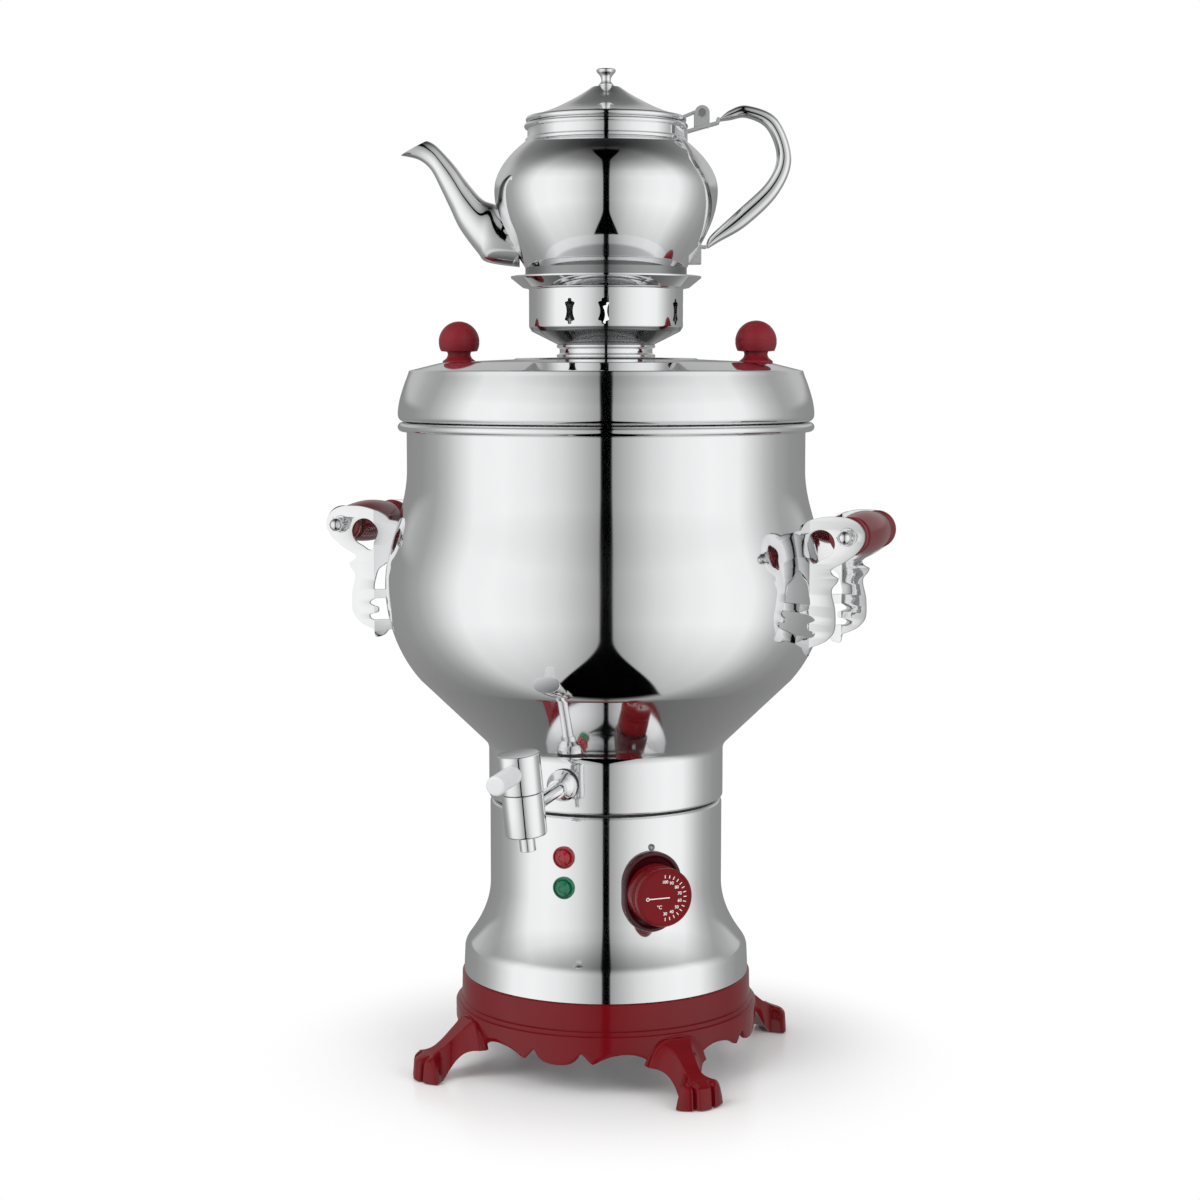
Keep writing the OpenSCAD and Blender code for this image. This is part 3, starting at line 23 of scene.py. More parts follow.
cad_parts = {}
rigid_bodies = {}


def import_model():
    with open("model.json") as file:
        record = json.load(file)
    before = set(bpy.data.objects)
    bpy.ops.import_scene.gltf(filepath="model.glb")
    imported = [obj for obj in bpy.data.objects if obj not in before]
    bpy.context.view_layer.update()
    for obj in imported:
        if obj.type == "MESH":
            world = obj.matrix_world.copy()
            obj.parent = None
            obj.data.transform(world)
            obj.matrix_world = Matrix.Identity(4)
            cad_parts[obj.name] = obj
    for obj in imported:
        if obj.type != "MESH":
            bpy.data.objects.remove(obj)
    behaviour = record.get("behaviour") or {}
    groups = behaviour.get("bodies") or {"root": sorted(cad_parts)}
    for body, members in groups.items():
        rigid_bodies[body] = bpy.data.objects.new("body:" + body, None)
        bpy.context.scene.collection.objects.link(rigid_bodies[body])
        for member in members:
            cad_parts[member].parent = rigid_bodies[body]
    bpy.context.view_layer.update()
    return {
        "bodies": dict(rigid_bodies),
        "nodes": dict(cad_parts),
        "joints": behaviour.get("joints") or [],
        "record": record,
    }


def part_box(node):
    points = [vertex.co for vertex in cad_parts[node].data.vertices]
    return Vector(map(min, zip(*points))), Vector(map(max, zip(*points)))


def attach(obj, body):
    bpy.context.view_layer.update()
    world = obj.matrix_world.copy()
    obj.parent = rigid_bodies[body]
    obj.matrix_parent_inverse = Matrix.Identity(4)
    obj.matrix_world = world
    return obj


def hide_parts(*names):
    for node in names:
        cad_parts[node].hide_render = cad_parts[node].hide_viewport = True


log = logging.getLogger("samovar")

MM = 0.001
ROUND = 192
# Points nearer than this are merged, on grids and on what comes from curves and text
SEAM, CURVE_SEAM = 2e-6, 1e-6
# Edges shorter than this are dissolved
SLIVER = 1e-7
# Faces that turn by fewer degrees than FLAT are one plane; a bevel takes edges over BROKEN
FLAT, BROKEN = 0.6, 40


# ---- curves


def ease(t: np.ndarray) -> np.ndarray:
    """An S curve from 0 to 1: half of one minus the cosine of the half turn t."""
    return (1 - np.cos(np.pi * t)) / 2


def smooth_through(points: list | np.ndarray, steps: int = 8) -> np.ndarray:
    """A smooth curve through all the points.

    Each stretch is the cubic whose slope at a point is half the step between that
    point's two neighbours.

    Args:
        points: control points, one row each, of any number of columns.
        steps: points on each stretch between two control points.

    Returns:
        The curve's points, the last control point included.
    """
    p = np.asarray(points, float)
    padded = chain(p[:1], p, p[-1:])
    a, b, c, d = (padded[i:len(padded) - 3 + i, None] for i in range(4))
    t = (np.arange(steps) / steps)[None, :, None]
    curve = 0.5 * (2 * b + (c - a) * t + (2 * a - 5 * b + 4 * c - d) * t**2
                   + (3 * b - a - 3 * c + d) * t**3)
    return chain(curve.reshape(-1, p.shape[1]), p[-1:])


def rounded(corners: list, steps: int = 5) -> np.ndarray:
    """A polyline whose corners are true arcs.

    An arc is drawn as the conic between its two tangent points whose middle weight is
    the sine of half the corner's angle, which makes it a piece of a circle.

    Args:
        corners: rows of x, y and corner radius; the first and last corner stay sharp.
        steps: stretches in each arc.

    Returns:
        The points, without repeats.
    """
    rows = np.asarray(corners, float)
    p, radius = rows[:, :2], rows[1:-1, 2]
    back, on = p[:-2] - p[1:-1], p[2:] - p[1:-1]
    back_len, on_len = (np.linalg.norm(v, axis=1) for v in (back, on))
    back, on = back / back_len[:, None], on / on_len[:, None]
    half = np.arccos(np.clip((back * on).sum(1), -1, 1)) / 2
    reach = np.minimum(radius / np.tan(half), 0.49 * np.minimum(back_len, on_len))
    start, end = p[1:-1] + back * reach[:, None], p[1:-1] + on * reach[:, None]
    t = np.linspace(0, 1, steps + 1)[None, :, None]
    weight = 2 * np.sin(half)[:, None, None] * t * (1 - t)
    arcs = (((1 - t)**2 * start[:, None] + weight * p[1:-1, None] + t**2 * end[:, None])
            / ((1 - t)**2 + weight + t**2))
    line = chain(p[:1], arcs.reshape(-1, 2), p[-1:])
    keep = chain([True], np.linalg.norm(np.diff(line, axis=0), axis=1) > 1e-6)
    return line[keep]


def arc(centre: tuple, radius: float, start: float, end: float, steps: int = 8) -> np.ndarray:
    """Points on a circle about centre, from one angle in degrees to another."""
    a = np.radians(np.linspace(start, end, steps + 1))
    return np.stack([centre[0] + radius * np.cos(a), centre[1] + radius * np.sin(a)], 1)


def chain(*parts: np.ndarray, axis: int = 0) -> np.ndarray:
    """Arrays one after another."""
    return np.concatenate(parts, axis)


def full_turn(steps: int) -> np.ndarray:
    """Angles round a whole turn, without the last one, which is the first again."""
    return np.linspace(0, 2 * np.pi, steps, endpoint=False)


def in_mm(*lengths: float) -> tuple:
    """Lengths in metres as millimetres."""
    return tuple(length / MM for length in lengths)


def to_the_left(profile: np.ndarray, distance: float) -> np.ndarray:
    """A profile moved sideways to the left of its travel by a distance.

    Args:
        profile: rows of two coordinates, in the order of travel.
        distance: how far it moves.

    Returns:
        The moved profile.
    """
    along = np.gradient(profile, axis=0)
    along /= np.linalg.norm(along, axis=1)[:, None]
    return profile + distance * np.stack([-along[:, 1], along[:, 0]], 1)


def sheet_wall(outline: np.ndarray, thick: float) -> np.ndarray:
    """The closed section of a sheet: its outside, then back along its inside.

    Args:
        outline: the sheet's outside, with its inside to the left.
        thick: the sheet's thickness.

    Returns:
        The section's points.
    """
    inside = to_the_left(outline, thick)
    inside[:, 0] = np.maximum(inside[:, 0], 0)
    return chain(outline, inside[::-1])


# ---- shapes


@dataclass
class Shape:
    """A surface of quads: points by row, and four point numbers to each face."""

    points: np.ndarray
    faces: np.ndarray

    def moved(self, matrix: Matrix) -> "Shape":
        """The same surface after a turn and a shift."""
        m = np.array(matrix, float)
        return Shape(self.points @ m[:3, :3].T + m[:3, 3], self.faces)

    def plus(self, *others: "Shape") -> "Shape":
        """This surface and others as one.

        Args:
            *others: the other surfaces.

        Returns:
            One surface.
        """
        shapes = [self, *others]
        starts = np.cumsum([0] + [len(s.points) for s in shapes[:-1]])
        return Shape(np.concatenate([s.points for s in shapes]),
                     np.concatenate([s.faces + k for s, k in zip(shapes, starts)]))


def grid(points: np.ndarray, close_rows: bool = False, close_columns: bool = True) -> Shape:
    """A surface from a grid of points.

    A face joins points (i, j), (i, j+1), (i+1, j+1) and (i+1, j).

    Args:
        points: an array of rows by columns by 3.
        close_rows: whether the last row joins the first.
        close_columns: whether the last column joins the first.

    Returns:
        The surface.
    """
    rows, columns = points.shape[:2]
    i = np.arange(rows if close_rows else rows - 1)[:, None]
    j = np.arange(columns if close_columns else columns - 1)[None, :]
    i_next, j_next = (i + 1) % rows, (j + 1) % columns
    faces = np.stack([i * columns + j, i * columns + j_next,
                      i_next * columns + j_next, i_next * columns + j], -1)
    return Shape(points.reshape(-1, 3), faces.reshape(-1, 4))


def lathe(profile: np.ndarray, closed: bool = True, steps: int = ROUND) -> Shape:
    """A surface of revolution about Z from a profile of radius and height.

    Args:
        profile: rows of radius and height; its outside travels upward.
        closed: whether the profile's end joins its start.
        steps: stretches round the axis.

    Returns:
        The surface.
    """
    turn = full_turn(steps)
    r, z = profile[:, :1], profile[:, 1:]
    points = np.stack([r * np.cos(turn), r * np.sin(turn), z + 0 * turn], -1)
    return grid(points, close_rows=closed)


def capped(rings: np.ndarray) -> Shape:
    """A tube's rings as a surface, with both ends closed to their middles."""
    first, last = (np.broadcast_to(rings[k].mean(0), rings[:1].shape) for k in (0, -1))
    return grid(chain(first, rings, last))


def prism(outline: np.ndarray, low: float, high: float) -> Shape:
    """A convex-enough outline in X and Y, closed by fans from its middle, from low to high.

    Args:
        outline: the outline's points.
        low: height of its bottom.
        high: height of its top.

    Returns:
        The surface.
    """
    middle = np.broadcast_to(outline.mean(0), outline.shape)
    rows = [np.column_stack([p, np.full(len(p), z)])
            for p, z in ((middle, low), (outline, low), (outline, high), (middle, high))]
    return grid(np.stack(rows))


def about(axis: str, degrees: float) -> Matrix:
    """A turn about X, Y or Z."""
    return Matrix.Rotation(math.radians(degrees), 4, axis)


def shift(x: float, y: float, z: float) -> Matrix:
    """A shift without a turn."""
    return Matrix.Translation((x, y, z))


def facing(bearing: float, height: float) -> Matrix:
    """Puts a piece whose +Z is outward on a bearing in degrees, at a height."""
    return about("Z", bearing) @ shift(0, 0, height) @ about("X", 90)


# ---- materials


class Sheet:
    """A node tree with short calls that add nodes and link them."""

    def __init__(self, tree: NodeTree) -> None:
        """Empties the tree and keeps it."""
        self.tree = tree
        tree.nodes.clear()

    def add(self, kind: str, inputs: dict | None = None, **settings: object) -> Node:
        """Adds a node.

        Args:
            kind: the node's type, without its ShaderNode start.
            inputs: values or output sockets by input name or number.
            settings: properties of the node.

        Returns:
            The new node.
        """
        node = self.tree.nodes.new("ShaderNode" + kind)
        for name, value in settings.items():
            setattr(node, name, value)
        for name, value in (inputs or {}).items():
            if isinstance(value, NodeSocket):
                self.tree.links.new(value, node.inputs[name])
            else:
                node.inputs[name].default_value = value
        return node

    def math(self, operation: str, *values: object) -> NodeSocket:
        """The result of one sum on numbers or sockets."""
        return self.add("Math", dict(enumerate(values)), operation=operation).outputs[0]

    def ramp(self, value: NodeSocket, stops: list) -> NodeSocket:
        """A grey level that follows value through stops of place and level.

        Args:
            value: the level it follows.
            stops: pairs of place and level.

        Returns:
            The grey level.
        """
        node = self.add("ValToRGB", {"Fac": value})
        elements = node.color_ramp.elements
        for _ in stops[2:]:
            elements.new(0.5)
        for element, (place, level) in zip(elements, stops):
            element.position = place
            element.color = (level, level, level, 1)
        return node.outputs["Color"]

    def stretched(self, scale: tuple) -> NodeSocket:
        """The piece's own coordinates, stretched by a scale on each axis."""
        place = self.add("TexCoord").outputs["Object"]
        return self.add("Mapping", {"Vector": place, "Scale": scale}).outputs["Vector"]

    def noise(self, scale: float, detail: float = 2, stretch: tuple = (1, 1, 1)) -> NodeSocket:
        """A cloudy level from 0 to 1 over the piece.

        Args:
            scale: clouds to a metre.
            detail: how many finer clouds lie in it.
            stretch: scale of the coordinates on each axis.

        Returns:
            The level.
        """
        return self.add("TexNoise", {"Vector": self.stretched(stretch), "Scale": scale,
                                     "Detail": detail}).outputs["Fac"]

    def between(self, share: NodeSocket, first: tuple, second: tuple) -> NodeSocket:
        """A colour from the first to the second by a share."""
        return self.add("MixRGB", {"Fac": share, "Color1": (*first, 1),
                                   "Color2": (*second, 1)}).outputs["Color"]

    def bumps(self, height: NodeSocket, strength: float, distance: float) -> NodeSocket:
        """The normals of a surface that a height roughens."""
        return self.add("Bump", {"Height": height, "Strength": strength,
                                 "Distance": distance}).outputs["Normal"]

    def spread(self, value: NodeSocket, low: float, high: float) -> NodeSocket:
        """A noise, which keeps near its middle, spread over low to high."""
        return self.add("MapRange", {"Value": value, "From Min": 0.3, "From Max": 0.7,
                                     "To Min": low, "To Max": high}).outputs[0]


class Coating:
    """What all finishes share: a material round their own shader."""

    def build(self, name: str) -> Material:
        """Makes the material.

        Args:
            name: the material's name.

        Returns:
            The material.
        """
        material = bpy.data.materials.new(name)
        material.use_nodes = True
        sheet = Sheet(material.node_tree)
        sheet.add("OutputMaterial", {"Surface": self.shader(sheet).outputs["BSDF"]})
        return material

    def shader(self, sheet: Sheet) -> Node:
        """The finish's own shader."""
        raise NotImplementedError


@dataclass(frozen=True)
class Metal(Coating):
    """Polished or plated metal with fine turning lines and faint handling marks."""

    tint: tuple
    roughness: float
    lines: float = 0.05
    marks: float = 0.02
    line_stretch: tuple = (30, 30, 2600)
    line_depth: float = 0.02 * MM
    mark_scale: float = 22.0
    shade: float = 0.96

    def shader(self, sheet: Sheet) -> Node:
        """Turning lines in the bump, marks in the roughness and a slightly darker cloud.

        Args:
            sheet: the material's nodes.

        Returns:
            The shader.
        """
        fine = sheet.noise(1.0, 2.0, self.line_stretch)
        cloudy = sheet.noise(self.mark_scale, 3.0)
        rough = sheet.spread(cloudy, self.roughness - self.marks, self.roughness + self.marks)
        shade = tuple(self.shade * c for c in self.tint)
        return sheet.add("BsdfPrincipled", {
            "Base Color": sheet.between(cloudy, self.tint, shade), "Metallic": 1.0,
            "Roughness": rough, "Normal": sheet.bumps(fine, self.lines, self.line_depth)})


@dataclass(frozen=True)
class Moulded(Coating):
    """Moulded plastic, ceramic or rubber with slight clouding and a fine skin."""

    colour: tuple
    roughness: float
    grain: float = 0.06
    grain_size: float = 0.6 * MM
    grain_depth: float = 0.1 * MM
    cloud: float = 0.12
    cloud_scale: float = 45.0
    gloss: float = 0.5

    def shader(self, sheet: Sheet) -> Node:
        """A fine skin in the bump, and clouds in the colour and the roughness.

        Args:
            sheet: the material's nodes.

        Returns:
            The shader.
        """
        skin = sheet.noise(1 / self.grain_size)
        cloudy = sheet.noise(self.cloud_scale, 4.0)
        dark = tuple((1 - self.cloud) * c for c in self.colour)
        bright = tuple(min(1.0, (1 + self.cloud) * c) for c in self.colour)
        rough = sheet.spread(cloudy, self.roughness * 0.85, self.roughness * 1.15)
        return sheet.add("BsdfPrincipled", {
            "Base Color": sheet.between(cloudy, dark, bright), "Roughness": rough,
            "IOR": 1.5, "Specular IOR Level": self.gloss,
            "Normal": sheet.bumps(skin, self.grain, self.grain_depth)})


@dataclass(frozen=True)
class TintedLens(Coating):
    """Clear tinted plastic of an indicator lamp, a little cloudy."""

    colour: tuple
    depth: float = 0.8
    cloud_scale: float = 90.0

    def shader(self, sheet: Sheet) -> Node:
        """Two depths of one colour under a glossy skin.

        Args:
            sheet: the material's nodes.

        Returns:
            The shader.
        """
        cloudy = sheet.spread(sheet.noise(self.cloud_scale), 0.0, 1.0)
        deep = tuple(self.depth * c for c in self.colour)
        return sheet.add("BsdfPrincipled", {
            "Base Color": sheet.between(cloudy, self.colour, deep), "Roughness": 0.10,
            "IOR": 1.49, "Transmission Weight": 0.10, "Coat Weight": 0.4,
            "Coat Roughness": 0.03})


class Finish(Enum):
    """Every finish on the samovar, and a darkened steel that paints shade, by the name of its slot
    in the record.
    """

    STEEL = ("polished_steel", Metal((0.84, 0.845, 0.85), 0.055))
    SATIN = ("polished_steel", Metal((0.84, 0.845, 0.85), 0.32, 0.01))
    # Painted shade: darkened steel laid on the collar's cone and inside, the teapot's foot band and
    # the dial's marker
    PAINTED_SHADE = ("polished_steel", Metal((0.30, 0.302, 0.305), 0.12, 0.005))
    PLATED = ("dark_metal", Metal((0.50, 0.51, 0.53), 0.28, 0.10, 0.05))
    BASE = ("base_plastic", Moulded((0.138, 0.003, 0.006), 0.10, gloss=0.30))
    KNOB = ("knob_plastic", Moulded((0.150, 0.004, 0.007), 0.24, 0.05, gloss=0.15))
    BALL = ("lid_knob_plastic", Moulded((0.190, 0.009, 0.017), 0.40, 0.10, gloss=0.30))
    GRIP = ("grip_plastic", Moulded((0.135, 0.006, 0.012), 0.16, 0.03, gloss=0.45))
    BEZEL = ("bezel_plastic", Moulded((0.045, 0.003, 0.006), 0.22, 0.04, gloss=0.4))
    RUBBER = ("black_rubber", Moulded((0.020, 0.020, 0.020), 0.62, 0.20))
    SILICONE = ("red_silicone", Moulded((0.300, 0.040, 0.030), 0.55, 0.12))
    BLACK = ("black_plastic", Moulded((0.020, 0.020, 0.021), 0.40, 0.15))
    BRASS = ("brass", Metal((0.60, 0.43, 0.18), 0.24, 0.10, 0.05))
    INSULATOR = ("white_insulator", Moulded((0.760, 0.730, 0.660), 0.45, 0.08, cloud=0.04))
    LEVER = ("lever_plastic", Moulded((0.630, 0.640, 0.650), 0.34, 0.05, cloud=0.03))
    RED_LENS = ("lamp_red", TintedLens((0.33, 0.012, 0.020)))
    GREEN_LENS = ("lamp_green", TintedLens((0.003, 0.150, 0.068)))
    PRINT = ("", Moulded((0.82, 0.81, 0.79), 0.40, 0.03, cloud=0.03))

    @property
    def slot(self) -> str:
        """The record's slot, or nothing where a finish has none."""
        return self.value[0]

    def material(self) -> Material:
        """The finish's material, made once."""
        name = "finish_" + self.name.lower()
        return bpy.data.materials.get(name) or self.value[1].build(name)


# ---- pieces


def placed(name: str, data: ID) -> Object:
    """Puts a new object in the scene, at the origin.

    Args:
        name: its name.
        data: its mesh, curve, camera or lamp.

    Returns:
        The object.
    """
    obj = bpy.data.objects.new(name, data)
    bpy.context.scene.collection.objects.link(obj)
    return obj


@contextmanager
def opened(mesh: Mesh) -> Iterator[BMesh]:
    """Opens a mesh for editing, and writes it back afterwards.

    Args:
        mesh: the mesh.

    Yields:
        Its points, edges and faces.
    """
    work = bmesh.new()
    work.from_mesh(mesh)
    yield work
    work.to_mesh(mesh)
    work.free()


class Workshop:
    """Turns shapes into pieces on the frame: mesh, shading, finish, body and record slot."""

    def __init__(self, frame: dict) -> None:
        """Keeps the frame, and which body each node rides on.
        """
        self.nodes = frame["nodes"]
        groups = frame["record"]["behaviour"]["bodies"]
        self.body_of = {node: body for body, nodes in groups.items() for node in nodes}

    def piece(self, name: str, shape: Shape | Mesh, finish: Finish,
              stands_for: tuple, sharp: float = 32, mend: bool = False,
              body: str = "") -> Object:
        """Makes a finished piece.

        Args:
            name: the piece's name.
            shape: its surface, or a mesh that is ready.
            finish: what it is dressed in.
            stands_for: the nodes that it replaces.
            sharp: edges that turn by more degrees than this stay crisp.
            mend: whether its faces are turned outward again.
            body: the body it rides on, where it replaces no node.

        Returns:
            The object, at the origin.
        """
        mesh = shape if isinstance(shape, Mesh) else self.mesh(name, shape, mend)
        mesh.name = name
        obj = placed(name, mesh)
        mesh.materials.clear()
        mesh.materials.append(finish.material())
        self.shade(mesh, sharp)
        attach(obj, body or self.body_of[stands_for[0]])
        if stands_for:
            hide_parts(*stands_for)
        log.info("%s: %d faces in %s", name, len(mesh.polygons), finish.name.lower())
        return obj

    def mesh(self, name: str, shape: Shape, mend: bool = False) -> Mesh:
        """Makes a mesh of a surface, with its poles and seams merged.

        Args:
            name: the mesh's name.
            shape: the surface.
            mend: whether its faces are turned outward again.

        Returns:
            The mesh.
        """
        mesh = bpy.data.meshes.new(name)
        count = len(shape.faces)
        mesh.vertices.add(len(shape.points))
        mesh.vertices.foreach_set("co", shape.points.astype(np.float32).ravel())
        mesh.loops.add(4 * count)
        mesh.loops.foreach_set("vertex_index", shape.faces.astype(np.int32).ravel())
        mesh.polygons.add(count)
        mesh.polygons.foreach_set("loop_start", np.arange(0, 4 * count, 4, dtype=np.int32))
        mesh.update(calc_edges=True)
        with opened(mesh) as work:
            bmesh.ops.remove_doubles(work, verts=work.verts, dist=SEAM)
            bmesh.ops.dissolve_degenerate(work, edges=work.edges, dist=SLIVER)
            if mend:
                bmesh.ops.recalc_face_normals(work, faces=work.faces)
        mesh.validate()
        return mesh

    @staticmethod
    def shade(mesh: Mesh, sharp: float) -> None:
        """Shades a mesh smooth up to edges that turn by more than sharp degrees."""
        mesh.polygons.foreach_set("use_smooth", np.ones(len(mesh.polygons), bool))
        mesh.set_sharp_from_angle(angle=math.radians(sharp))

    @staticmethod
    def paint_shade(obj: Object, finish: Finish, low: float, high: float, near: float,
              far: float) -> None:
        """Paints shade on some of a piece's faces by giving them another, darker finish.

        Args:
            obj: the piece.
            finish: the darker finish that paints the shade on those faces.
            low: faces above this height.
            high: faces below this height.
            near: faces further than this from the samovar's axis.
            far: faces nearer than this to the samovar's axis.
        """
        mesh = obj.data
        flat = np.zeros(3 * len(mesh.polygons), np.float32)
        mesh.polygons.foreach_get("center", flat)
        middle = flat.reshape(-1, 3)
        away = np.hypot(middle[:, 0], middle[:, 1])
        chosen = (middle[:, 2] > low) & (middle[:, 2] < high) & (away > near) & (away < far)
        # The chosen faces get the darker material that paints shade on them
        mesh.materials.append(finish.material())
        mesh.polygons.foreach_set("material_index", chosen.astype(np.int32))

    def refined(self, node: str, finish: Finish, bevel: float = 0.25 * MM,
                sharp: float = 32) -> Object:
        """Makes a merged copy of a node's own mesh, with its edges broken.

        Args:
            node: the node it copies and replaces.
            finish: what it is dressed in.
            bevel: width of the broken edges, or 0 for none.
            sharp: edges that turn by more degrees than this stay crisp.

        Returns:
            The object.
        """
        mesh = self.nodes[node].data.copy()
        with opened(mesh) as work:
            bmesh.ops.remove_doubles(work, verts=work.verts, dist=SEAM)
            bmesh.ops.dissolve_limit(work, angle_limit=math.radians(FLAT), verts=work.verts,
                                     edges=work.edges)
        obj = self.piece(node + "_piece", mesh, finish, (node,), sharp)
        if bevel:
            self.break_edges(obj, bevel)
        return obj

    @staticmethod
    def break_edges(obj: Object, width: float) -> None:
        """Adds a bevel of two steps to a piece's crisp edges.

        Args:
            obj: the piece.
            width: the bevel's width.
        """
        bevel = obj.modifiers.new("broken_edges", "BEVEL")
        bevel.width = width
        bevel.segments = 2
        bevel.limit_method = "ANGLE"
        bevel.angle_limit = math.radians(BROKEN)
        bevel.use_clamp_overlap = True
        bevel.harden_normals = True

    def cut(self, shape: Shape, cutters: list[Shape], name: str) -> Mesh:
        """A surface's mesh after closed cutters were taken out of it.

        Args:
            shape: the surface.
            cutters: what is taken out of it.
            name: the mesh's name.

        Returns:
            The mesh.
        """
        pair = []
        for label, part in ((name, shape), (name + "_cutter", cutters[0].plus(*cutters[1:]))):
            pair.append(placed(label, self.mesh(label, part, mend=True)))
        subtract = pair[0].modifiers.new("cut", "BOOLEAN")
        subtract.operation = "DIFFERENCE"
        subtract.solver = "EXACT"
        subtract.object = pair[1]
        result = self.worked_out(pair[0])
        for obj in pair:
            bpy.data.objects.remove(obj)
        return result

    @staticmethod
    def worked_out(obj: Object) -> Mesh:
        """The mesh that an object's modifiers, curve or text come to.

        Args:
            obj: the object, which stays.

        Returns:
            The mesh.
        """
        bpy.context.view_layer.update()
        evaluated = obj.evaluated_get(bpy.context.evaluated_depsgraph_get())
        return bpy.data.meshes.new_from_object(evaluated)

    @staticmethod
    def joined(name: str, parts: list[Mesh], mend: bool = False) -> Mesh:
        """Several meshes as one.

        Args:
            name: the new mesh's name.
            parts: the meshes.
            mend: whether its faces are turned outward again.

        Returns:
            The new mesh.
        """
        work = bmesh.new()
        for part in parts:
            work.from_mesh(part)
        if mend:
            bmesh.ops.recalc_face_normals(work, faces=work.faces)
        result = bpy.data.meshes.new(name)
        work.to_mesh(result)
        work.free()
        return result

    def stamped(self, outer: np.ndarray, holes: list, thick: float, edge: float,
                name: str) -> Mesh:
        """A stamped plate in X and Y with holes and softened edges.

        Args:
            outer: the outline's points.
            holes: the outlines of its holes.
            thick: thickness of the sheet, half above and half below z = 0.
            edge: radius of its softened edges.
            name: the mesh's name.

        Returns:
            The mesh.
        """
        curve = bpy.data.curves.new(name, "CURVE")
        curve.dimensions = "2D"
        curve.fill_mode = "BOTH"
        curve.extrude = thick / 2 - edge
        curve.bevel_depth = edge
        curve.bevel_resolution = 1
        for line in (outer, *holes):
            spline = curve.splines.new("POLY")
            spline.points.add(len(line) - 1)
            flat = np.column_stack([line, np.zeros(len(line)), np.ones(len(line))])
            spline.points.foreach_set("co", flat.ravel())
            spline.use_cyclic_u = True
        return self.flattened(name, curve)

    def flattened(self, name: str, curve: Curve) -> Mesh:
        """The merged mesh of a flat curve or a text.

        Args:
            name: the object's name.
            curve: the curve or text, which stays.

        Returns:
            The mesh.
        """
        obj = placed(name, curve)
        mesh = self.worked_out(obj)
        bpy.data.objects.remove(obj)
        with opened(mesh) as work:
            bmesh.ops.remove_doubles(work, verts=work.verts, dist=CURVE_SEAM)
            bmesh.ops.recalc_face_normals(work, faces=work.faces)
        return mesh


# ---- heights and camera


@dataclass(frozen=True)
class Levels:
    """Heights that the frame's own nodes give."""

    base_top: float
    casing_top: float
    tank_floor: float
    tank_top: float
    lid_foot: float
    lid_top: float
    pot_foot: float
    pot_rim: float

    @classmethod
    def from_frame(cls) -> "Levels":
        """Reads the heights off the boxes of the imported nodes.

        Returns:
            The heights.
        """
        lip = 8 * MM
        inner_step = 2.4 * MM
        return cls(
            base_top=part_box("casing")[0].z, casing_top=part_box("casing")[1].z,
            tank_floor=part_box("tank_bottom")[0].z, tank_top=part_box("tank")[1].z,
            lid_foot=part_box("lid")[0].z + lip,
            lid_top=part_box("pot_collar")[0].z + inner_step,
            pot_foot=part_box("pot_body")[0].z, pot_rim=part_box("pot_body")[1].z)


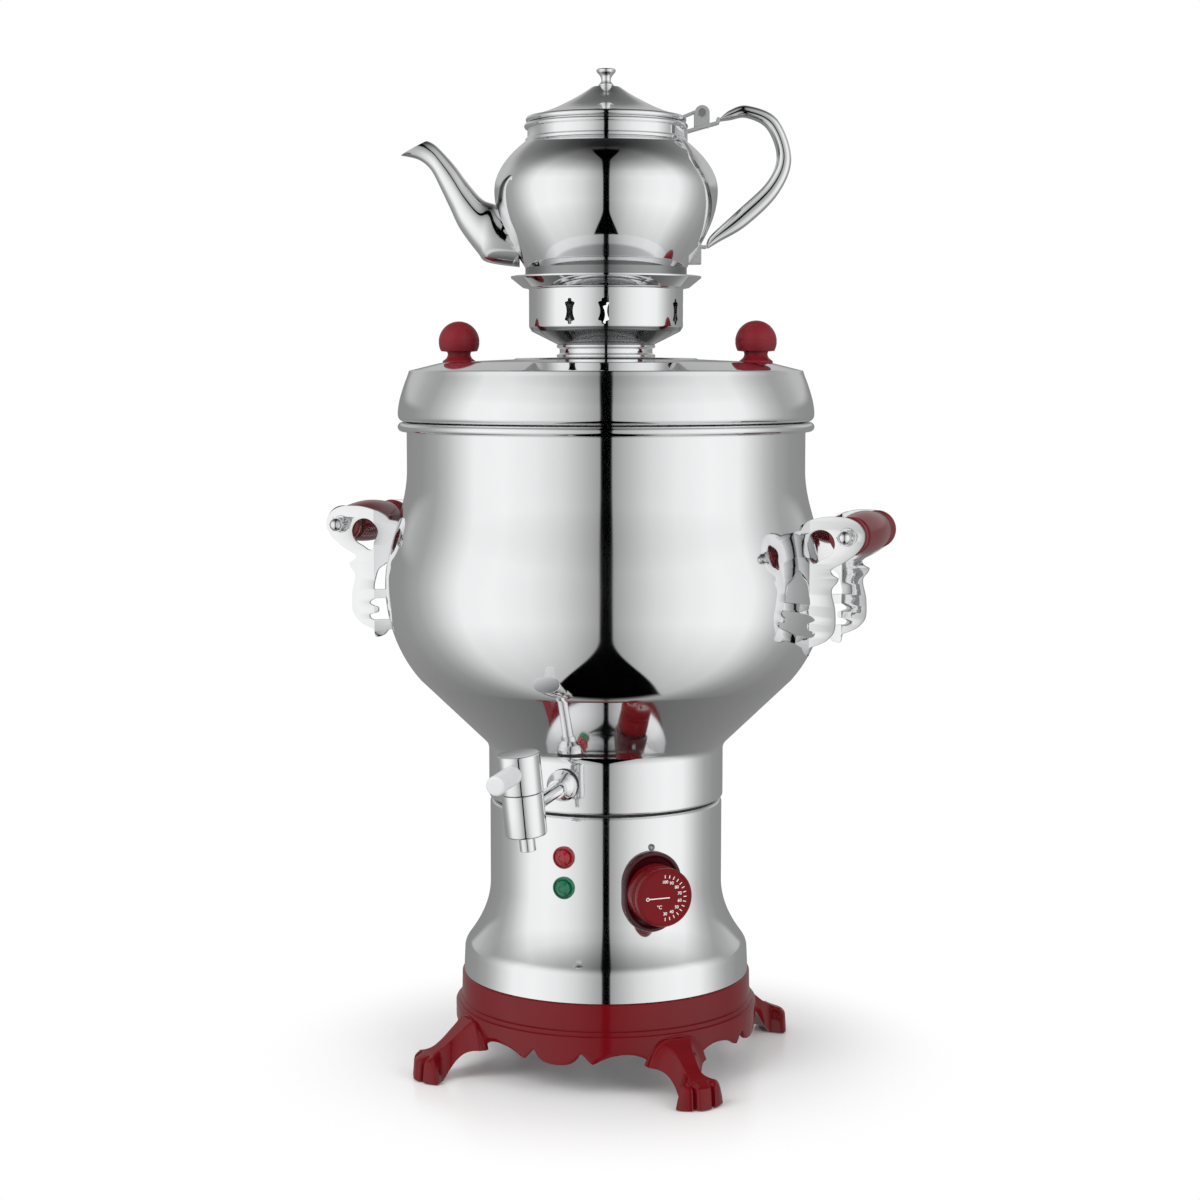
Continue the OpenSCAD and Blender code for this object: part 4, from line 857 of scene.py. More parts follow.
@dataclass(frozen=True)
class Studio:
    """Camera, pale floor and plain soft light."""

    bearing: float = 20.5
    distance: float = 1304.9 * MM
    height: float = 396.4 * MM
    aside: float = -3.4 * MM
    look_down: float = 5.758
    lens_mm: float = 68.925
    floor_half: float = 3.0
    shadow_reach: float = 0.11
    soft_reach: float = 0.21
    floor_level: float = 0.96
    # Brightness of the boxes round the samovar, by degrees from the camera's bearing
    boxes: tuple = ((0, 0.36), (3.0, 0.40), (12, 0.58), (25, 0.84), (40, 1.02), (60, 1.12),
                    (80, 1.08), (93, 0.80), (102, 0.60), (113, 0.44), (130, 0.34), (180, 0.26))
    # Share of that brightness, by degrees above the horizon
    rise: tuple = ((-90, 0.30), (-62, 0.57), (-40, 0.80), (-19, 1.0), (20, 1.0), (35, 0.85),
                   (50, 0.50), (65, 0.22), (80, 0.06), (90, 0.04))
    # Half the width of the dark gap between the boxes, and how much wider it is overhead and below
    gap: float = 0.045
    gap_edge: float = 0.02
    wider_overhead: float = 0.10
    wider_below: float = 0.25
    # Soft steps: of the height, 0 at the nadir and 1 at the zenith, for the gap and the glow
    overhead: tuple = (0.84, 0.97)
    below: tuple = (0.33, 0.11)
    glow_foot: tuple = (0.52, 0.55)
    glow_head: tuple = (0.70, 0.62)
    # of the bearing, 1 straight behind, for the glow, and of the way forward, for the gap
    glow_side: tuple = (0.62, 0.80)
    in_front: tuple = (0.0, 0.1)
    brightest: float = 1.2
    mirrored: float = 1.14
    glow: float = 0.25
    plain: float = 0.80
    # Name, place and power of each lamp
    lamps: tuple = (("key_lamp", (-0.9, -1.5, 1.6), 22), ("fill_lamp", (1.7, -0.9, 1.1), 10))
    lamp_size: float = 1.2
    lamp_aim: float = 0.25

    def build(self) -> None:
        """Makes the camera, the floor, the lamps and the sky."""
        self.camera()
        self.floor()
        self.sky()
        for name, place, power in self.lamps:
            self.lamp(name, place, power)
        bpy.context.scene.view_settings.view_transform = "Standard"
        log.info("studio ready")

    def camera(self) -> None:
        """Stands the camera at its bearing and height, looking a little down."""
        data = bpy.data.cameras.new("camera")
        data.lens = self.lens_mm
        data.sensor_width = 36
        camera = placed("camera", data)
        a = math.radians(self.bearing)
        camera.location = (self.distance * math.sin(a) + self.aside * math.cos(a),
                           -self.distance * math.cos(a) + self.aside * math.sin(a), self.height)
        camera.rotation_euler = (math.radians(90 - self.look_down), 0, a)
        bpy.context.scene.camera = camera

    def lamp(self, name: str, place: tuple, power: float) -> None:
        """Adds a large soft lamp that looks at the samovar and isn't mirrored in it.

        Args:
            name: its name.
            place: where it stands.
            power: its power in watts.
        """
        data = bpy.data.lights.new(name, "AREA")
        data.shape = "DISK"
        data.size = self.lamp_size
        data.energy = power
        lamp = placed(name, data)
        lamp.location = place
        aim = Vector((0, 0, self.lamp_aim)) - lamp.location
        lamp.rotation_euler = aim.to_track_quat("-Z", "Y").to_euler()
        lamp.visible_glossy = False
        lamp.visible_camera = False

    def floor(self) -> None:
        """Lays a pale floor that keeps the shadow near the samovar and fades to white."""
        h = self.floor_half
        corners = np.array([[[-h, -h, 0], [h, -h, 0]], [[-h, h, 0], [h, h, 0]]], float)
        shape = grid(corners, close_columns=False)
        mesh = bpy.data.meshes.new("floor")
        mesh.from_pydata(shape.points.tolist(), [], shape.faces.tolist())
        floor = placed("floor", mesh)
        material = bpy.data.materials.new("pale_floor")
        material.use_nodes = True
        sheet = Sheet(material.node_tree)
        place = sheet.add("TexCoord").outputs["Object"]
        away = sheet.add("VectorMath", {0: place}, operation="LENGTH").outputs["Value"]
        far = self.step(sheet, away, self.shadow_reach, self.soft_reach)
        level = self.floor_level
        matt = sheet.add("BsdfPrincipled", {"Base Color": (level, level, level, 1),
                                            "Roughness": 0.22}).outputs["BSDF"]
        white = sheet.add("Emission", {"Color": (1, 1, 1, 1), "Strength": 1.0}).outputs[0]
        clear = sheet.add("BsdfTransparent").outputs[0]
        light = sheet.add("LightPath")
        seen = sheet.add("MixShader", {0: far, 1: matt, 2: white}).outputs[0]
        both = sheet.add("MixShader", {0: light.outputs["Is Glossy Ray"], 1: seen,
                                       2: clear}).outputs[0]
        sheet.add("OutputMaterial", {"Surface": both})
        mesh.materials.append(material)

    def sky(self) -> None:
        """White behind the samovar, plain soft light, and two tall boxes for its mirrors.

        The boxes' brightness is one curve over the bearing times one over the height,
        and the dark gap between them lies in front. A faint glow stands behind.
        """
        world = bpy.data.worlds.new("studio")
        bpy.context.scene.world = world
        world.use_nodes = True
        sheet = Sheet(world.node_tree)
        way = sheet.add("TexCoord").outputs["Generated"]
        sin, cos = math.sin(math.radians(self.bearing)), math.cos(math.radians(self.bearing))
        across, toward = (sheet.add("VectorMath", {0: way, 1: axis},
                                    operation="DOT_PRODUCT").outputs["Value"]
                          for axis in ((cos, sin, 0), (sin, -cos, 0)))
        up = sheet.add("SeparateXYZ", {0: way}).outputs["Z"]
        side = sheet.math("ABSOLUTE", sheet.math("ARCTAN2", across, toward))
        turn = sheet.math("DIVIDE", side, math.pi)
        height = sheet.math("ADD", sheet.math("DIVIDE", sheet.math("ARCSINE", up), math.pi), 0.5)
        boxes = sheet.ramp(turn, [(d / 180, v / self.brightest) for d, v in self.boxes])
        rise = sheet.ramp(height, [(d / 180 + 0.5, v) for d, v in self.rise])
        overhead = sheet.math("MULTIPLY", self.step(sheet, height, *self.overhead),
                              self.wider_overhead)
        below = sheet.math("MULTIPLY", self.step(sheet, height, *self.below), self.wider_below)
        edge = sheet.math("ADD", sheet.math("ADD", overhead, below), self.gap)
        beside = sheet.math("SUBTRACT", sheet.math("ABSOLUTE", across), edge)
        far_side = sheet.math("SUBTRACT", 1.0, self.step(sheet, toward, *self.in_front))
        lit = sheet.math("MAXIMUM", self.step(sheet, beside, 0.0, self.gap_edge), far_side)
        mirrored = sheet.math("MULTIPLY", sheet.math("MULTIPLY", boxes, rise),
                              sheet.math("MULTIPLY", lit, self.mirrored))
        behind = sheet.math("MULTIPLY", self.step(sheet, turn, *self.glow_side),
                            self.step(sheet, height, *self.glow_foot))
        glow = sheet.math("MULTIPLY", behind, self.step(sheet, height, *self.glow_head))
        level = sheet.math("ADD", mirrored, sheet.math("MULTIPLY", glow, self.glow))
        light = sheet.add("LightPath")
        mirror = sheet.math("MAXIMUM", light.outputs["Is Glossy Ray"],
                            light.outputs["Is Transmission Ray"])
        plain, boxed, white = (
            sheet.add("Background", {"Color": (1, 1, 1, 1), "Strength": strength}).outputs[0]
            for strength in (self.plain, level, 1.0))
        first = sheet.add("MixShader", {0: mirror, 1: plain, 2: boxed}).outputs[0]
        last = sheet.add("MixShader", {0: light.outputs["Is Camera Ray"], 1: first, 2: white})
        sheet.add("OutputWorld", {"Surface": last.outputs[0]})

    @staticmethod
    def step(sheet: Sheet, value: NodeSocket, low: float, high: float) -> NodeSocket:
        """A soft step from 0 at low to 1 at high."""
        return sheet.add("MapRange", {"Value": value, "From Min": low, "From Max": high},
                         interpolation_type="SMOOTHSTEP").outputs[0]


# ---- base


@dataclass
class Base:
    """The moulded red base: band, scalloped skirt and four clawed legs."""

    shop: Workshop
    levels: Levels
    band_r: float = 83.2 * MM
    skirt_r: float = 86.6 * MM
    skirt_top: float = 34.2 * MM
    skirt_low: float = 17.5 * MM
    step_h: float = 2.4 * MM
    wall: float = 3 * MM
    deck_z: float = 28 * MM
    deck_t: float = 3 * MM
    deck_hole_r: float = 69.9 * MM
    toe_front: float = 119.6 * MM
    toe_fall: float = 2.4 * MM
    toe_flare: float = 0.9 * MM
    floor_gap: float = 0.8 * MM
    leg_bevel: float = 0.45 * MM
    turned: float = 2.1
    knee_r: float = 18.3 * MM
    knee_z: float = 14.3 * MM
    bead_w: float = 0.75 * MM
    bead_out: float = 1 * MM

    def build(self) -> None:
        """Makes the ring, the legs and the beads that frame their roots."""
        self.shop.piece("base_ring", self.ring(), Finish.BASE, ("base",), sharp=38, mend=True)
        turns = [about("Z", self.turned + 45 + 90 * k) for k in range(4)]
        legs = [self.leg().moved(turn) for turn in turns]
        legs = self.shop.piece("base_legs", legs[0].plus(*legs[1:]), Finish.BASE, ("base",),
                               sharp=24, mend=True)
        self.shop.break_edges(legs, self.leg_bevel)
        beads = [self.knee_bead().moved(turn) for turn in turns]
        self.shop.piece("base_knee_beads", beads[0].plus(*beads[1:]), Finish.BASE, ("base",),
                        sharp=40, mend=True)

    def scallop(self, side: np.ndarray) -> np.ndarray:
        """Height of the skirt's edge by distance from the middle between two legs.

        A round lobe in the middle ends in an upright notch, then a short point, then
        one long arch up to the leg.

        Args:
            side: sideways distances from that middle.

        Returns:
            The edge's heights.
        """
        lobe = smooth_through([(0, 17.5), (5, 17.9), (9, 19.4), (11.8, 21.8), (13.2, 24.2),
                               (13.8, 24.5)])
        point = rounded([(14.2, 24.5, 0), (19.9, 18.6, 1.2), (22.6, 19.9, 0)], 6)
        arch = smooth_through([(22.6, 19.9), (26, 21.7), (31, 23.4), (38.5, 24.2), (45, 22.6),
                               (50.5, 18.6), (53, 17.5), (70, 17.5)])
        line = chain(lobe, point, arch) * MM
        return np.interp(np.abs(side), line[:, 0], line[:, 1])

    def ring(self) -> Shape:
        """Band, step line and skirt as one closed section carried round the axis.

        The section's points have a share, 1 at the skirt's lower edge and 0 at its top,
        by which they rise with the scallops.

        Returns:
            The ring.
        """
        top, mid, high, low, deck, under = in_mm(
            self.levels.base_top, self.skirt_top + self.step_h, self.skirt_top, self.skirt_low,
            self.deck_z + self.deck_t, self.deck_z)
        band, skirt, hole, wall = in_mm(self.band_r, self.skirt_r, self.deck_hole_r, self.wall)
        ridge = (band + skirt) / 2
        outer = rounded([
            (skirt, low + 1, 0), (skirt, high, 0.7), (ridge, high, 0.3), (ridge, mid, 0.7),
            (band, mid, 0.4), (band - 0.3, top, 0.7), (band - wall, top, 0.3),
            (band - wall, deck, 0.2), (hole, deck, 0.2), (hole, under, 0.2),
            (skirt - wall, under, 0.2), (skirt - wall, low + 0.6, 0)], 4)
        rim = np.array([(skirt - wall + 0.6, low), (skirt - 1, low), (skirt - 0.3, low + 0.3)])
        climb = np.linspace(0, 1, 7)[1:-1, None]
        rise = outer[0] + climb * (outer[1] - outer[0])
        section = chain(outer[:1], rise, outer[1:], rim)
        share = np.clip((high - section[:, 1]) / (high - low - 1), 0, 1)
        section = section * MM
        turn = full_turn(960)
        from_middle = (turn - math.radians(self.turned) + np.pi / 4) % (np.pi / 2) - np.pi / 4
        lift = self.scallop(self.skirt_r * np.sin(from_middle)) - self.skirt_low
        r, z = section[:, :1], section[:, 1:] + share[:, None] * lift
        return grid(np.stack([r * np.sin(turn), -r * np.cos(turn), z], -1), close_rows=True)

    def leg(self) -> Shape:
        """One cabriole leg along -Y, from an arch on the skirt to three toes.

        Each station across the leg has a flat ridge between two crisp lines, and sides
        that fall to the lower edge as one minus a power of the distance from the ridge.
        The last stations follow the toes' front outline and close on the floor.

        Returns:
            The leg, closed.
        """
        # Reach, half width, ridge height, edge height, half ridge, power of the sides
        stations = smooth_through([
            (82.5, 18, 31.6, 17.6, 6.6, 2.2), (87.2, 18, 31.9, 17.5, 6.6, 2.2),
            (88.6, 16.9, 31, 17.4, 6.4, 1.9), (91, 14, 29, 16.8, 5.9, 1.5),
            (94.4, 11.2, 26.2, 15, 5.4, 1.3), (98.2, 8.9, 23, 11, 4.9, 1.2),
            (102, 7.9, 19.9, 5.6, 4.5, 1.2), (105.6, 8.4, 17.6, 0.9, 4.3, 1.4),
            (108.2, 10.8, 16.3, 0.8, 4.5, 2), (110.6, 13.6, 15.2, 0.8, 4.9, 3.2),
            (112.4, 14.3, 14.6, 0.8, 5.3, 5)], 6)
        reach, wide, high, low, ridge, power = (c[:, None] for c in stations.T)
        reach, wide, high, low, ridge = (c * MM for c in (reach, wide, high, low, ridge))
        t = np.linspace(0, 1, 13)[None, :]
        half = chain(ridge * t[:, :-1], ridge + (wide - ridge) * t, axis=1)
        fall = np.clip((half - ridge) / (wide - ridge), 0, 1)
        top = low + (high - low) * (1 - fall**power)
        y = reach + 0 * half
        front_y, front_z, front_x = self.toes(half[-1], top[-1], y[-1])
        half, top, y = (np.concatenate(pair) for pair in ((half, front_x), (top, front_z),
                                                          (y, front_y)))
        low = chain(low, np.full((len(front_y), 1), self.floor_gap)) + 0 * top
        above = chain(np.stack([-half, -y, top], -1)[:, :0:-1],
                      np.stack([half, -y, top], -1), axis=1)
        below = above[:, ::-1].copy()
        below[:, :, 2] = chain(low[:, :0:-1], low, axis=1)[:, ::-1]
        loop = chain(above, below[:, 1:-1], axis=1)
        start = np.broadcast_to(loop[0].mean(0), loop[:1].shape)
        return grid(chain(start, loop))

    def toes(self, half: np.ndarray, top: np.ndarray, y: np.ndarray) -> tuple:
        """The stations from the ankle to the front of the three toes.

        The front outline falls back by the square of the side distance, with a crease
        between two toes that also cuts into their tops. The tops sink towards the front
        edge, and the last stations go down to the floor and a little outward.

        Args:
            half: sideways distances of the ankle's last station.
            top: its heights.
            y: its reach.

        Returns:
            Reach, height and sideways distance of each station's points.
        """
        mm = half / MM
        crease = np.exp(-((mm - 5.4) / 1)**2)
        front = self.toe_front - (0.9 + 0.034 * mm**2 + 2.8 * crease) * MM
        share = np.array([0.25, 0.5, 0.75, 0.93, 1, 1, 1, 1])[:, None]
        drop = np.array([0, 0, 0, 0.04, 0.16, 0.45, 0.75, 1])[:, None]
        ahead = y + (front - y) * share + self.toe_flare * drop
        height = top - (self.toe_fall * share + 1.7 * MM * crease * share)
        height = np.maximum(height, self.floor_gap)
        return ahead, height + (self.floor_gap - height) * drop, half + 0 * ahead

    def knee_bead(self) -> Shape:
        """A thin half-round bead on the skirt that frames a leg's root.

        Its path is an arch of knee_r laid on the skirt; its ring is an oval that stands
        out of the skirt more than it spreads.

        Returns:
            The bead, closed.
        """
        a = np.radians(np.linspace(-80, 80, 61))[:, None]
        ring = full_turn(12)[None, :]
        r = self.knee_r + self.bead_w * np.cos(ring)
        x, z = r * np.sin(a), self.knee_z + r * np.cos(a)
        y = -np.sqrt(self.skirt_r**2 - x**2) - self.bead_out * np.sin(ring)
        return capped(np.stack([x, y, z], -1))


# ---- casing


@dataclass
class Casing:
    """The flared steel casing with its dial, lamps, marker and mains inlet."""

    shop: Workshop
    levels: Levels
    top_r: float = 66.4 * MM
    foot_r: float = 81.9 * MM
    foot_taper: float = 0.6 * MM
    flare_low: float = 13.3 * MM
    flare_h: float = 39.5 * MM
    flare_turn: float = 0.157
    wall: float = 1.2 * MM
    edge_r: float = 2.4 * MM
    flange_in: float = 11 * MM
    inlet_bearing: float = 180.0
    inlet_drop: float = 31 * MM
    inlet_w: float = 20.4 * MM
    inlet_t: float = 27.4 * MM
    lamp_r: float = 6.25 * MM
    lamp_drops: tuple = (22.9 * MM, 39.9 * MM)

    def build(self) -> None:
        """Makes the shell and what is mounted on it."""
        hole = prism(self.inlet_hole(), 0, self.foot_r)
        placed = hole.moved(facing(self.inlet_bearing, self.levels.casing_top - self.inlet_drop))
        shell = self.shop.cut(self.shell(), [placed], "casing_shell")
        self.shop.piece("casing_shell", shell, Finish.STEEL, ("casing",))
        finishes = (Finish.RED_LENS, Finish.GREEN_LENS)
        nodes = ("red_lamp_lens", "green_lamp_lens")
        for drop, finish, node in zip(self.lamp_drops, finishes, nodes):
            at = facing(0, self.levels.casing_top - drop)
            self.shop.piece(node + "_cut", self.lens().moved(at), finish, (node,), 12, mend=True)

    def radius(self, z: np.ndarray) -> np.ndarray:
        """Radius of the casing's outside at a height.

        A foot band that tapers a little, then a short round and a long hollow: two
        parabolas that meet where flare_turn of the flare's height is reached.

        Args:
            z: heights.

        Returns:
            The radius at each.
        """
        over = z - self.levels.base_top
        t = np.clip((over - self.flare_low) / self.flare_h, 0, 1)
        turn = self.flare_turn
        share = np.where(t < turn, t**2 / turn, 1 - (1 - t)**2 / (1 - turn))
        band = self.foot_r - self.foot_taper * np.clip(over / self.flare_low, 0, 1)
        return band - (self.foot_r - self.foot_taper - self.top_r) * share

    def shell(self) -> Shape:
        """The sheet's outside from its foot over the top edge, and its inside.

        Returns:
            The shell.
        """
        low, top = self.levels.base_top, self.levels.casing_top
        z = low + self.flare_low + self.flare_h * np.linspace(0, 1, 65)
        side = np.stack([self.radius(z), z], 1)
        edge = arc((self.top_r - self.edge_r, top - self.edge_r), self.edge_r, 0, 90, 10)
        z_upper = np.linspace(z[-1], top - self.edge_r, 12)[1:-1]
        upper = np.stack([np.full(10, self.top_r), z_upper], 1)
        z_foot = low + self.flare_low * np.array([0.04, 0.35, 0.7, 0.97])
        foot = chain([(self.foot_r - 0.4 * MM, low)], np.stack([self.radius(z_foot), z_foot], 1))
        end = np.array([(self.top_r - self.flange_in, top)])
        return lathe(sheet_wall(chain(foot, side, upper, edge, end), self.wall))

    def inlet_hole(self) -> np.ndarray:
        """Corners of the hole for the mains inlet."""
        w, t = self.inlet_w / 2, self.inlet_t / 2
        return np.array([(-w, -t), (w, -t), (w, t), (-w, t)])

    def lens(self) -> Shape:
        """A lamp's lens: a low round rim that follows the casing, a groove, then eight facets.

        The rim's foot is laid on the casing's cylinder. The facets are rings whose
        radius is an octagon's, each ring turned half a facet from the one below.

        Returns:
            The lens, closed.
        """
        turn = full_turn(96)
        seat = np.sqrt(self.top_r**2 - (self.lamp_r * np.cos(turn))**2) - 0.3 * MM
        # Radius share, height over the seat's highest point, roundness from circle to octagon
        rings = ((1, None, 0), (1, 0.9, 0), (0.97, 1.2, 0), (0.88, 1.35, 0), (0.83, 0.35, 0),
                 (0.79, 0.35, 1), (0.70, 2.2, 1), (0.42, 3.4, 1), (0.32, 3.5, 0), (0.27, 2.9, 0),
                 (0, 2.9, 0))
        eighth = np.pi / 4
        flat = np.cos(eighth / 2) / np.cos(turn % eighth - eighth / 2)
        rows = []
        for k, (share, over, facet) in enumerate(rings):
            shape = flat if facet else np.ones_like(turn)
            if facet and k % 2:
                shape = np.roll(flat, 6)
            r = self.lamp_r * share * shape
            z = seat if over is None else np.full_like(turn, self.top_r + over * MM)
            rows.append(np.stack([r * np.cos(turn), r * np.sin(turn), z], -1))
        back = np.stack([0 * turn, 0 * turn, np.full_like(turn, self.top_r - 1.5 * MM)], -1)
        return grid(np.stack([back, *rows]))


@dataclass
class Dial:
    """The temperature knob with its printed scale, its bezel and its marker."""

    shop: Workshop
    casing: Casing
    bearing: float = 42.5
    drop: float = 41.7 * MM
    knob_r: float = 16.2 * MM
    deep: float = 15.6 * MM
    plate_w: float = 34 * MM
    plate_h: float = 44.4 * MM
    plate_stand: float = 3.2 * MM
    ticks: int = 15
    tick_r: tuple = (10.9 * MM, 12.7 * MM)
    tick_w: float = 0.42 * MM
    # The pointer's ends, and the place, bore and radius of its ring
    pointer: tuple = (2.8 * MM, -9.2 * MM)
    pointer_w: float = 0.55 * MM
    ring_at: float = -10.2 * MM
    ring_r: tuple = (0.62 * MM, 1.02 * MM)
    number_r: float = 8.8 * MM
    number_h: float = 2.4 * MM
    # Degree sign: its angle, its distance from the middle, and its size against a number
    sign_at: float = 236.0
    sign_r: float = 6 * MM
    sign_size: float = 1.15
    swell: float = 0.03 * MM
    sunk: float = 0.35 * MM
    print_t: float = 0.06 * MM
    numbers: tuple = (100, 90, 80, 70, 60, 50, 40, 30)

    @property
    def place(self) -> Matrix:
        """Where the knob sits: on its bearing, with +Z outward."""
        return facing(self.bearing, self.casing.levels.casing_top - self.drop)

    @property
    def back(self) -> float:
        """Distance of the knob's back from the samovar's axis."""
        return self.casing.top_r + self.plate_stand + 0.6 * MM

    @property
    def face(self) -> float:
        """Distance of the knob's face from the samovar's axis."""
        return self.back + self.deep

    def build(self) -> None:
        """Makes the knob, its print, the bezel and the marker."""
        shop = self.shop
        shop.piece("dial_knob", self.knob().moved(self.place), Finish.KNOB, ("knob",), sharp=40)
        shop.piece("dial_bezel", self.bezel().moved(self.place), Finish.BEZEL, ("knob_bezel",),
                   sharp=40, mend=True)
        self.scale()
        low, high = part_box("dial_marker")
        at = facing(self.bearing, low.z / 2 + high.z / 2)
        # Painted shade: the whole rivet gets darkened steel, for the shade in its dimple
        shop.piece("dial_marker_cup", self.marker().moved(at), Finish.PAINTED_SHADE, ("dial_marker",),
                   sharp=50, mend=True)

    def knob(self) -> Shape:
        """A turned knob: flat face inside a low rim, two grip grooves and a hollow back.

        Returns:
            The knob about its own axis.
        """
        r, face, back, flat = in_mm(self.knob_r, self.face, self.back, self.face - self.sunk)
        # Inset, depth below the face and corner of each point of the two grooves
        grooves = ((0, 8.2, 0.3), (0.5, 7.8, 0.2), (0.5, 7.2, 0.2), (0, 6.8, 0.3),
                   (0, 6.2, 0.3), (0.5, 5.8, 0.2), (0.5, 5, 0.2), (0, 4.6, 0.3))
        outside = [(r, back, 0.4), *((r - inset, face - deep, edge)
                                     for inset, deep, edge in grooves),
                   (r, face - 1.1, 0.5), (r - 1, face, 0.35), (r - 1.5, face, 0.2),
                   (r - 1.7, flat, 0.2), (0, flat, 0)]
        hollow = [(0, back + 3, 0), (5.2, back + 3, 0.2),
                  (5.2, back, 0.2), (6, back, 0.2),
                  (6, back + 5, 0.3), (r - 2, back + 5, 0.3),
                  (r - 2, back, 0.3)]
        return lathe(rounded(hollow + outside, 3) * MM, closed=False, steps=128)

    def oval(self, inset: float, turn: np.ndarray) -> np.ndarray:
        """The bezel's upright oval, moved inward: two half circles joined by straights."""
        r, straight = self.plate_w / 2 - inset, (self.plate_h - self.plate_w) / 2
        return np.stack([r * np.cos(turn), r * np.sin(turn) + straight * np.sign(np.sin(turn))], -1)

    def bezel(self) -> Shape:
        """A dish with a rounded rim that lies on the casing.

        Rings of the oval are moved inward step by step. The lowest ring lies on the
        casing, and each other ring stands at the bezel's face or just above the flare,
        whichever is further out.

        Returns:
            The bezel about the same axis.
        """
        steps = 160
        turn = (np.arange(steps) + 0.5) * 2 * np.pi / steps
        # Inset and height over the face plane
        rings = ((0, -1.6), (0, -0.9), (0.35, -0.25), (1, 0), (2, 0), (2.5, -0.25), (2.8, -0.9),
                 (3.3, -1.15), (9, -1.15), (16.9, -1.15))
        centre_z = self.casing.levels.casing_top - self.drop
        rows = []
        for k, (inset, over) in enumerate(rings):
            flat = self.oval(inset * MM, turn)
            wall = self.casing.radius(centre_z + flat[:, 1])
            seat = np.sqrt(wall**2 - flat[:, 0]**2)
            face = np.maximum(self.casing.top_r + self.plate_stand, wall + 1.5 * MM)
            out = seat - 0.3 * MM if k == 0 else np.maximum(face + over * MM, seat + 0.15 * MM)
            rows.append(np.column_stack([flat, out]))
        middle = np.tile([0, 0, self.casing.top_r + self.plate_stand - 1.15 * MM], (steps, 1))
        under = np.tile([0, 0, self.casing.top_r - 2 * MM], (steps, 1))
        return grid(np.stack([under, *rows, middle]))

    def marker(self) -> Shape:
        """A small countersunk rivet that marks the dial's zero.

        Returns:
            The rivet about its own axis.
        """
        low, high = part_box("dial_marker")
        size, out = in_mm((high.z - low.z) / 2, self.casing.top_r)
        profile = rounded([(0, out - 1, 0), (size, out - 1, 0), (size, out + 0.5, 0.3),
                           (size * 0.72, out + 0.9, 0.3), (size * 0.5, out + 0.45, 0.2),
                           (0, out + 0.3, 0)], 3)
        return lathe(profile * MM, closed=False, steps=48)

    def scale(self) -> None:
        """Prints the ticks, the numbers, the pointer line and its ring on the face."""
        parts = [self.shop.mesh("ticks", self.marks())]
        step = math.pi * 2 / (self.ticks - 1)
        for k, number in enumerate(self.numbers):
            parts.append(self.label(str(number), math.pi / 2 - k * step, self.number_r))
        parts.append(self.label("°C", math.radians(self.sign_at), self.sign_r, self.sign_size))
        mesh = self.shop.joined("dial_print", parts)
        mesh.transform(self.place @ shift(0, 0, self.face - self.sunk))
        self.shop.piece("dial_print", mesh, Finish.PRINT, (), sharp=30,
                        body=self.shop.body_of["knob"])

    def marks(self) -> Shape:
        """Ticks over the right half of the face, the pointer and the ring at its end.

        Returns:
            All the marks, on z = 0.
        """
        angles = np.linspace(np.pi / 2, -np.pi / 2, self.ticks)
        inner, outer = self.tick_r
        ticks = [self.bar((inner * np.cos(a), inner * np.sin(a)),
                          (outer * np.cos(a), outer * np.sin(a)), self.tick_w) for a in angles]
        tail, tip = self.pointer
        pointer = self.bar((tail, 0), (tip, 0), self.pointer_w)
        (bore, r), t = self.ring_r, self.print_t
        ring = lathe(np.array([(bore, 0), (r, 0), (r, t), (bore, t)]), steps=32)
        ring = ring.moved(shift(self.ring_at, 0, 0))
        return ticks[0].plus(*ticks[1:], pointer, ring)

    def bar(self, start: tuple, end: tuple, width: float) -> Shape:
        """A thin flat bar of print between two points.

        Args:
            start: one end of its middle line.
            end: the other end.
            width: its width.

        Returns:
            The bar, on z = 0.
        """
        a, b = np.array(start), np.array(end)
        side = np.array([-(b - a)[1], (b - a)[0]])
        side = side / np.linalg.norm(side) * width / 2
        return prism(np.array([a - side, b - side, b + side, a + side]), 0, self.print_t)

    def label(self, text: str, angle: float, radius: float, size: float = 1) -> Mesh:
        """A number on the scale, upright at an angle and a radius.

        Args:
            text: what it says.
            angle: where it stands, in radians from the right.
            radius: its distance from the face's middle.
            size: its height against a number's.

        Returns:
            Its mesh.
        """
        curve = bpy.data.curves.new("label", "FONT")
        curve.body = text
        curve.size = self.number_h * size
        curve.align_x, curve.align_y = "CENTER", "CENTER"
        curve.offset = self.swell
        curve.extrude = self.print_t / 2
        mesh = self.shop.flattened("label", curve)
        mesh.transform(shift(radius * math.cos(angle), radius * math.sin(angle),
                             self.print_t / 2))
        return mesh


# ---- tank


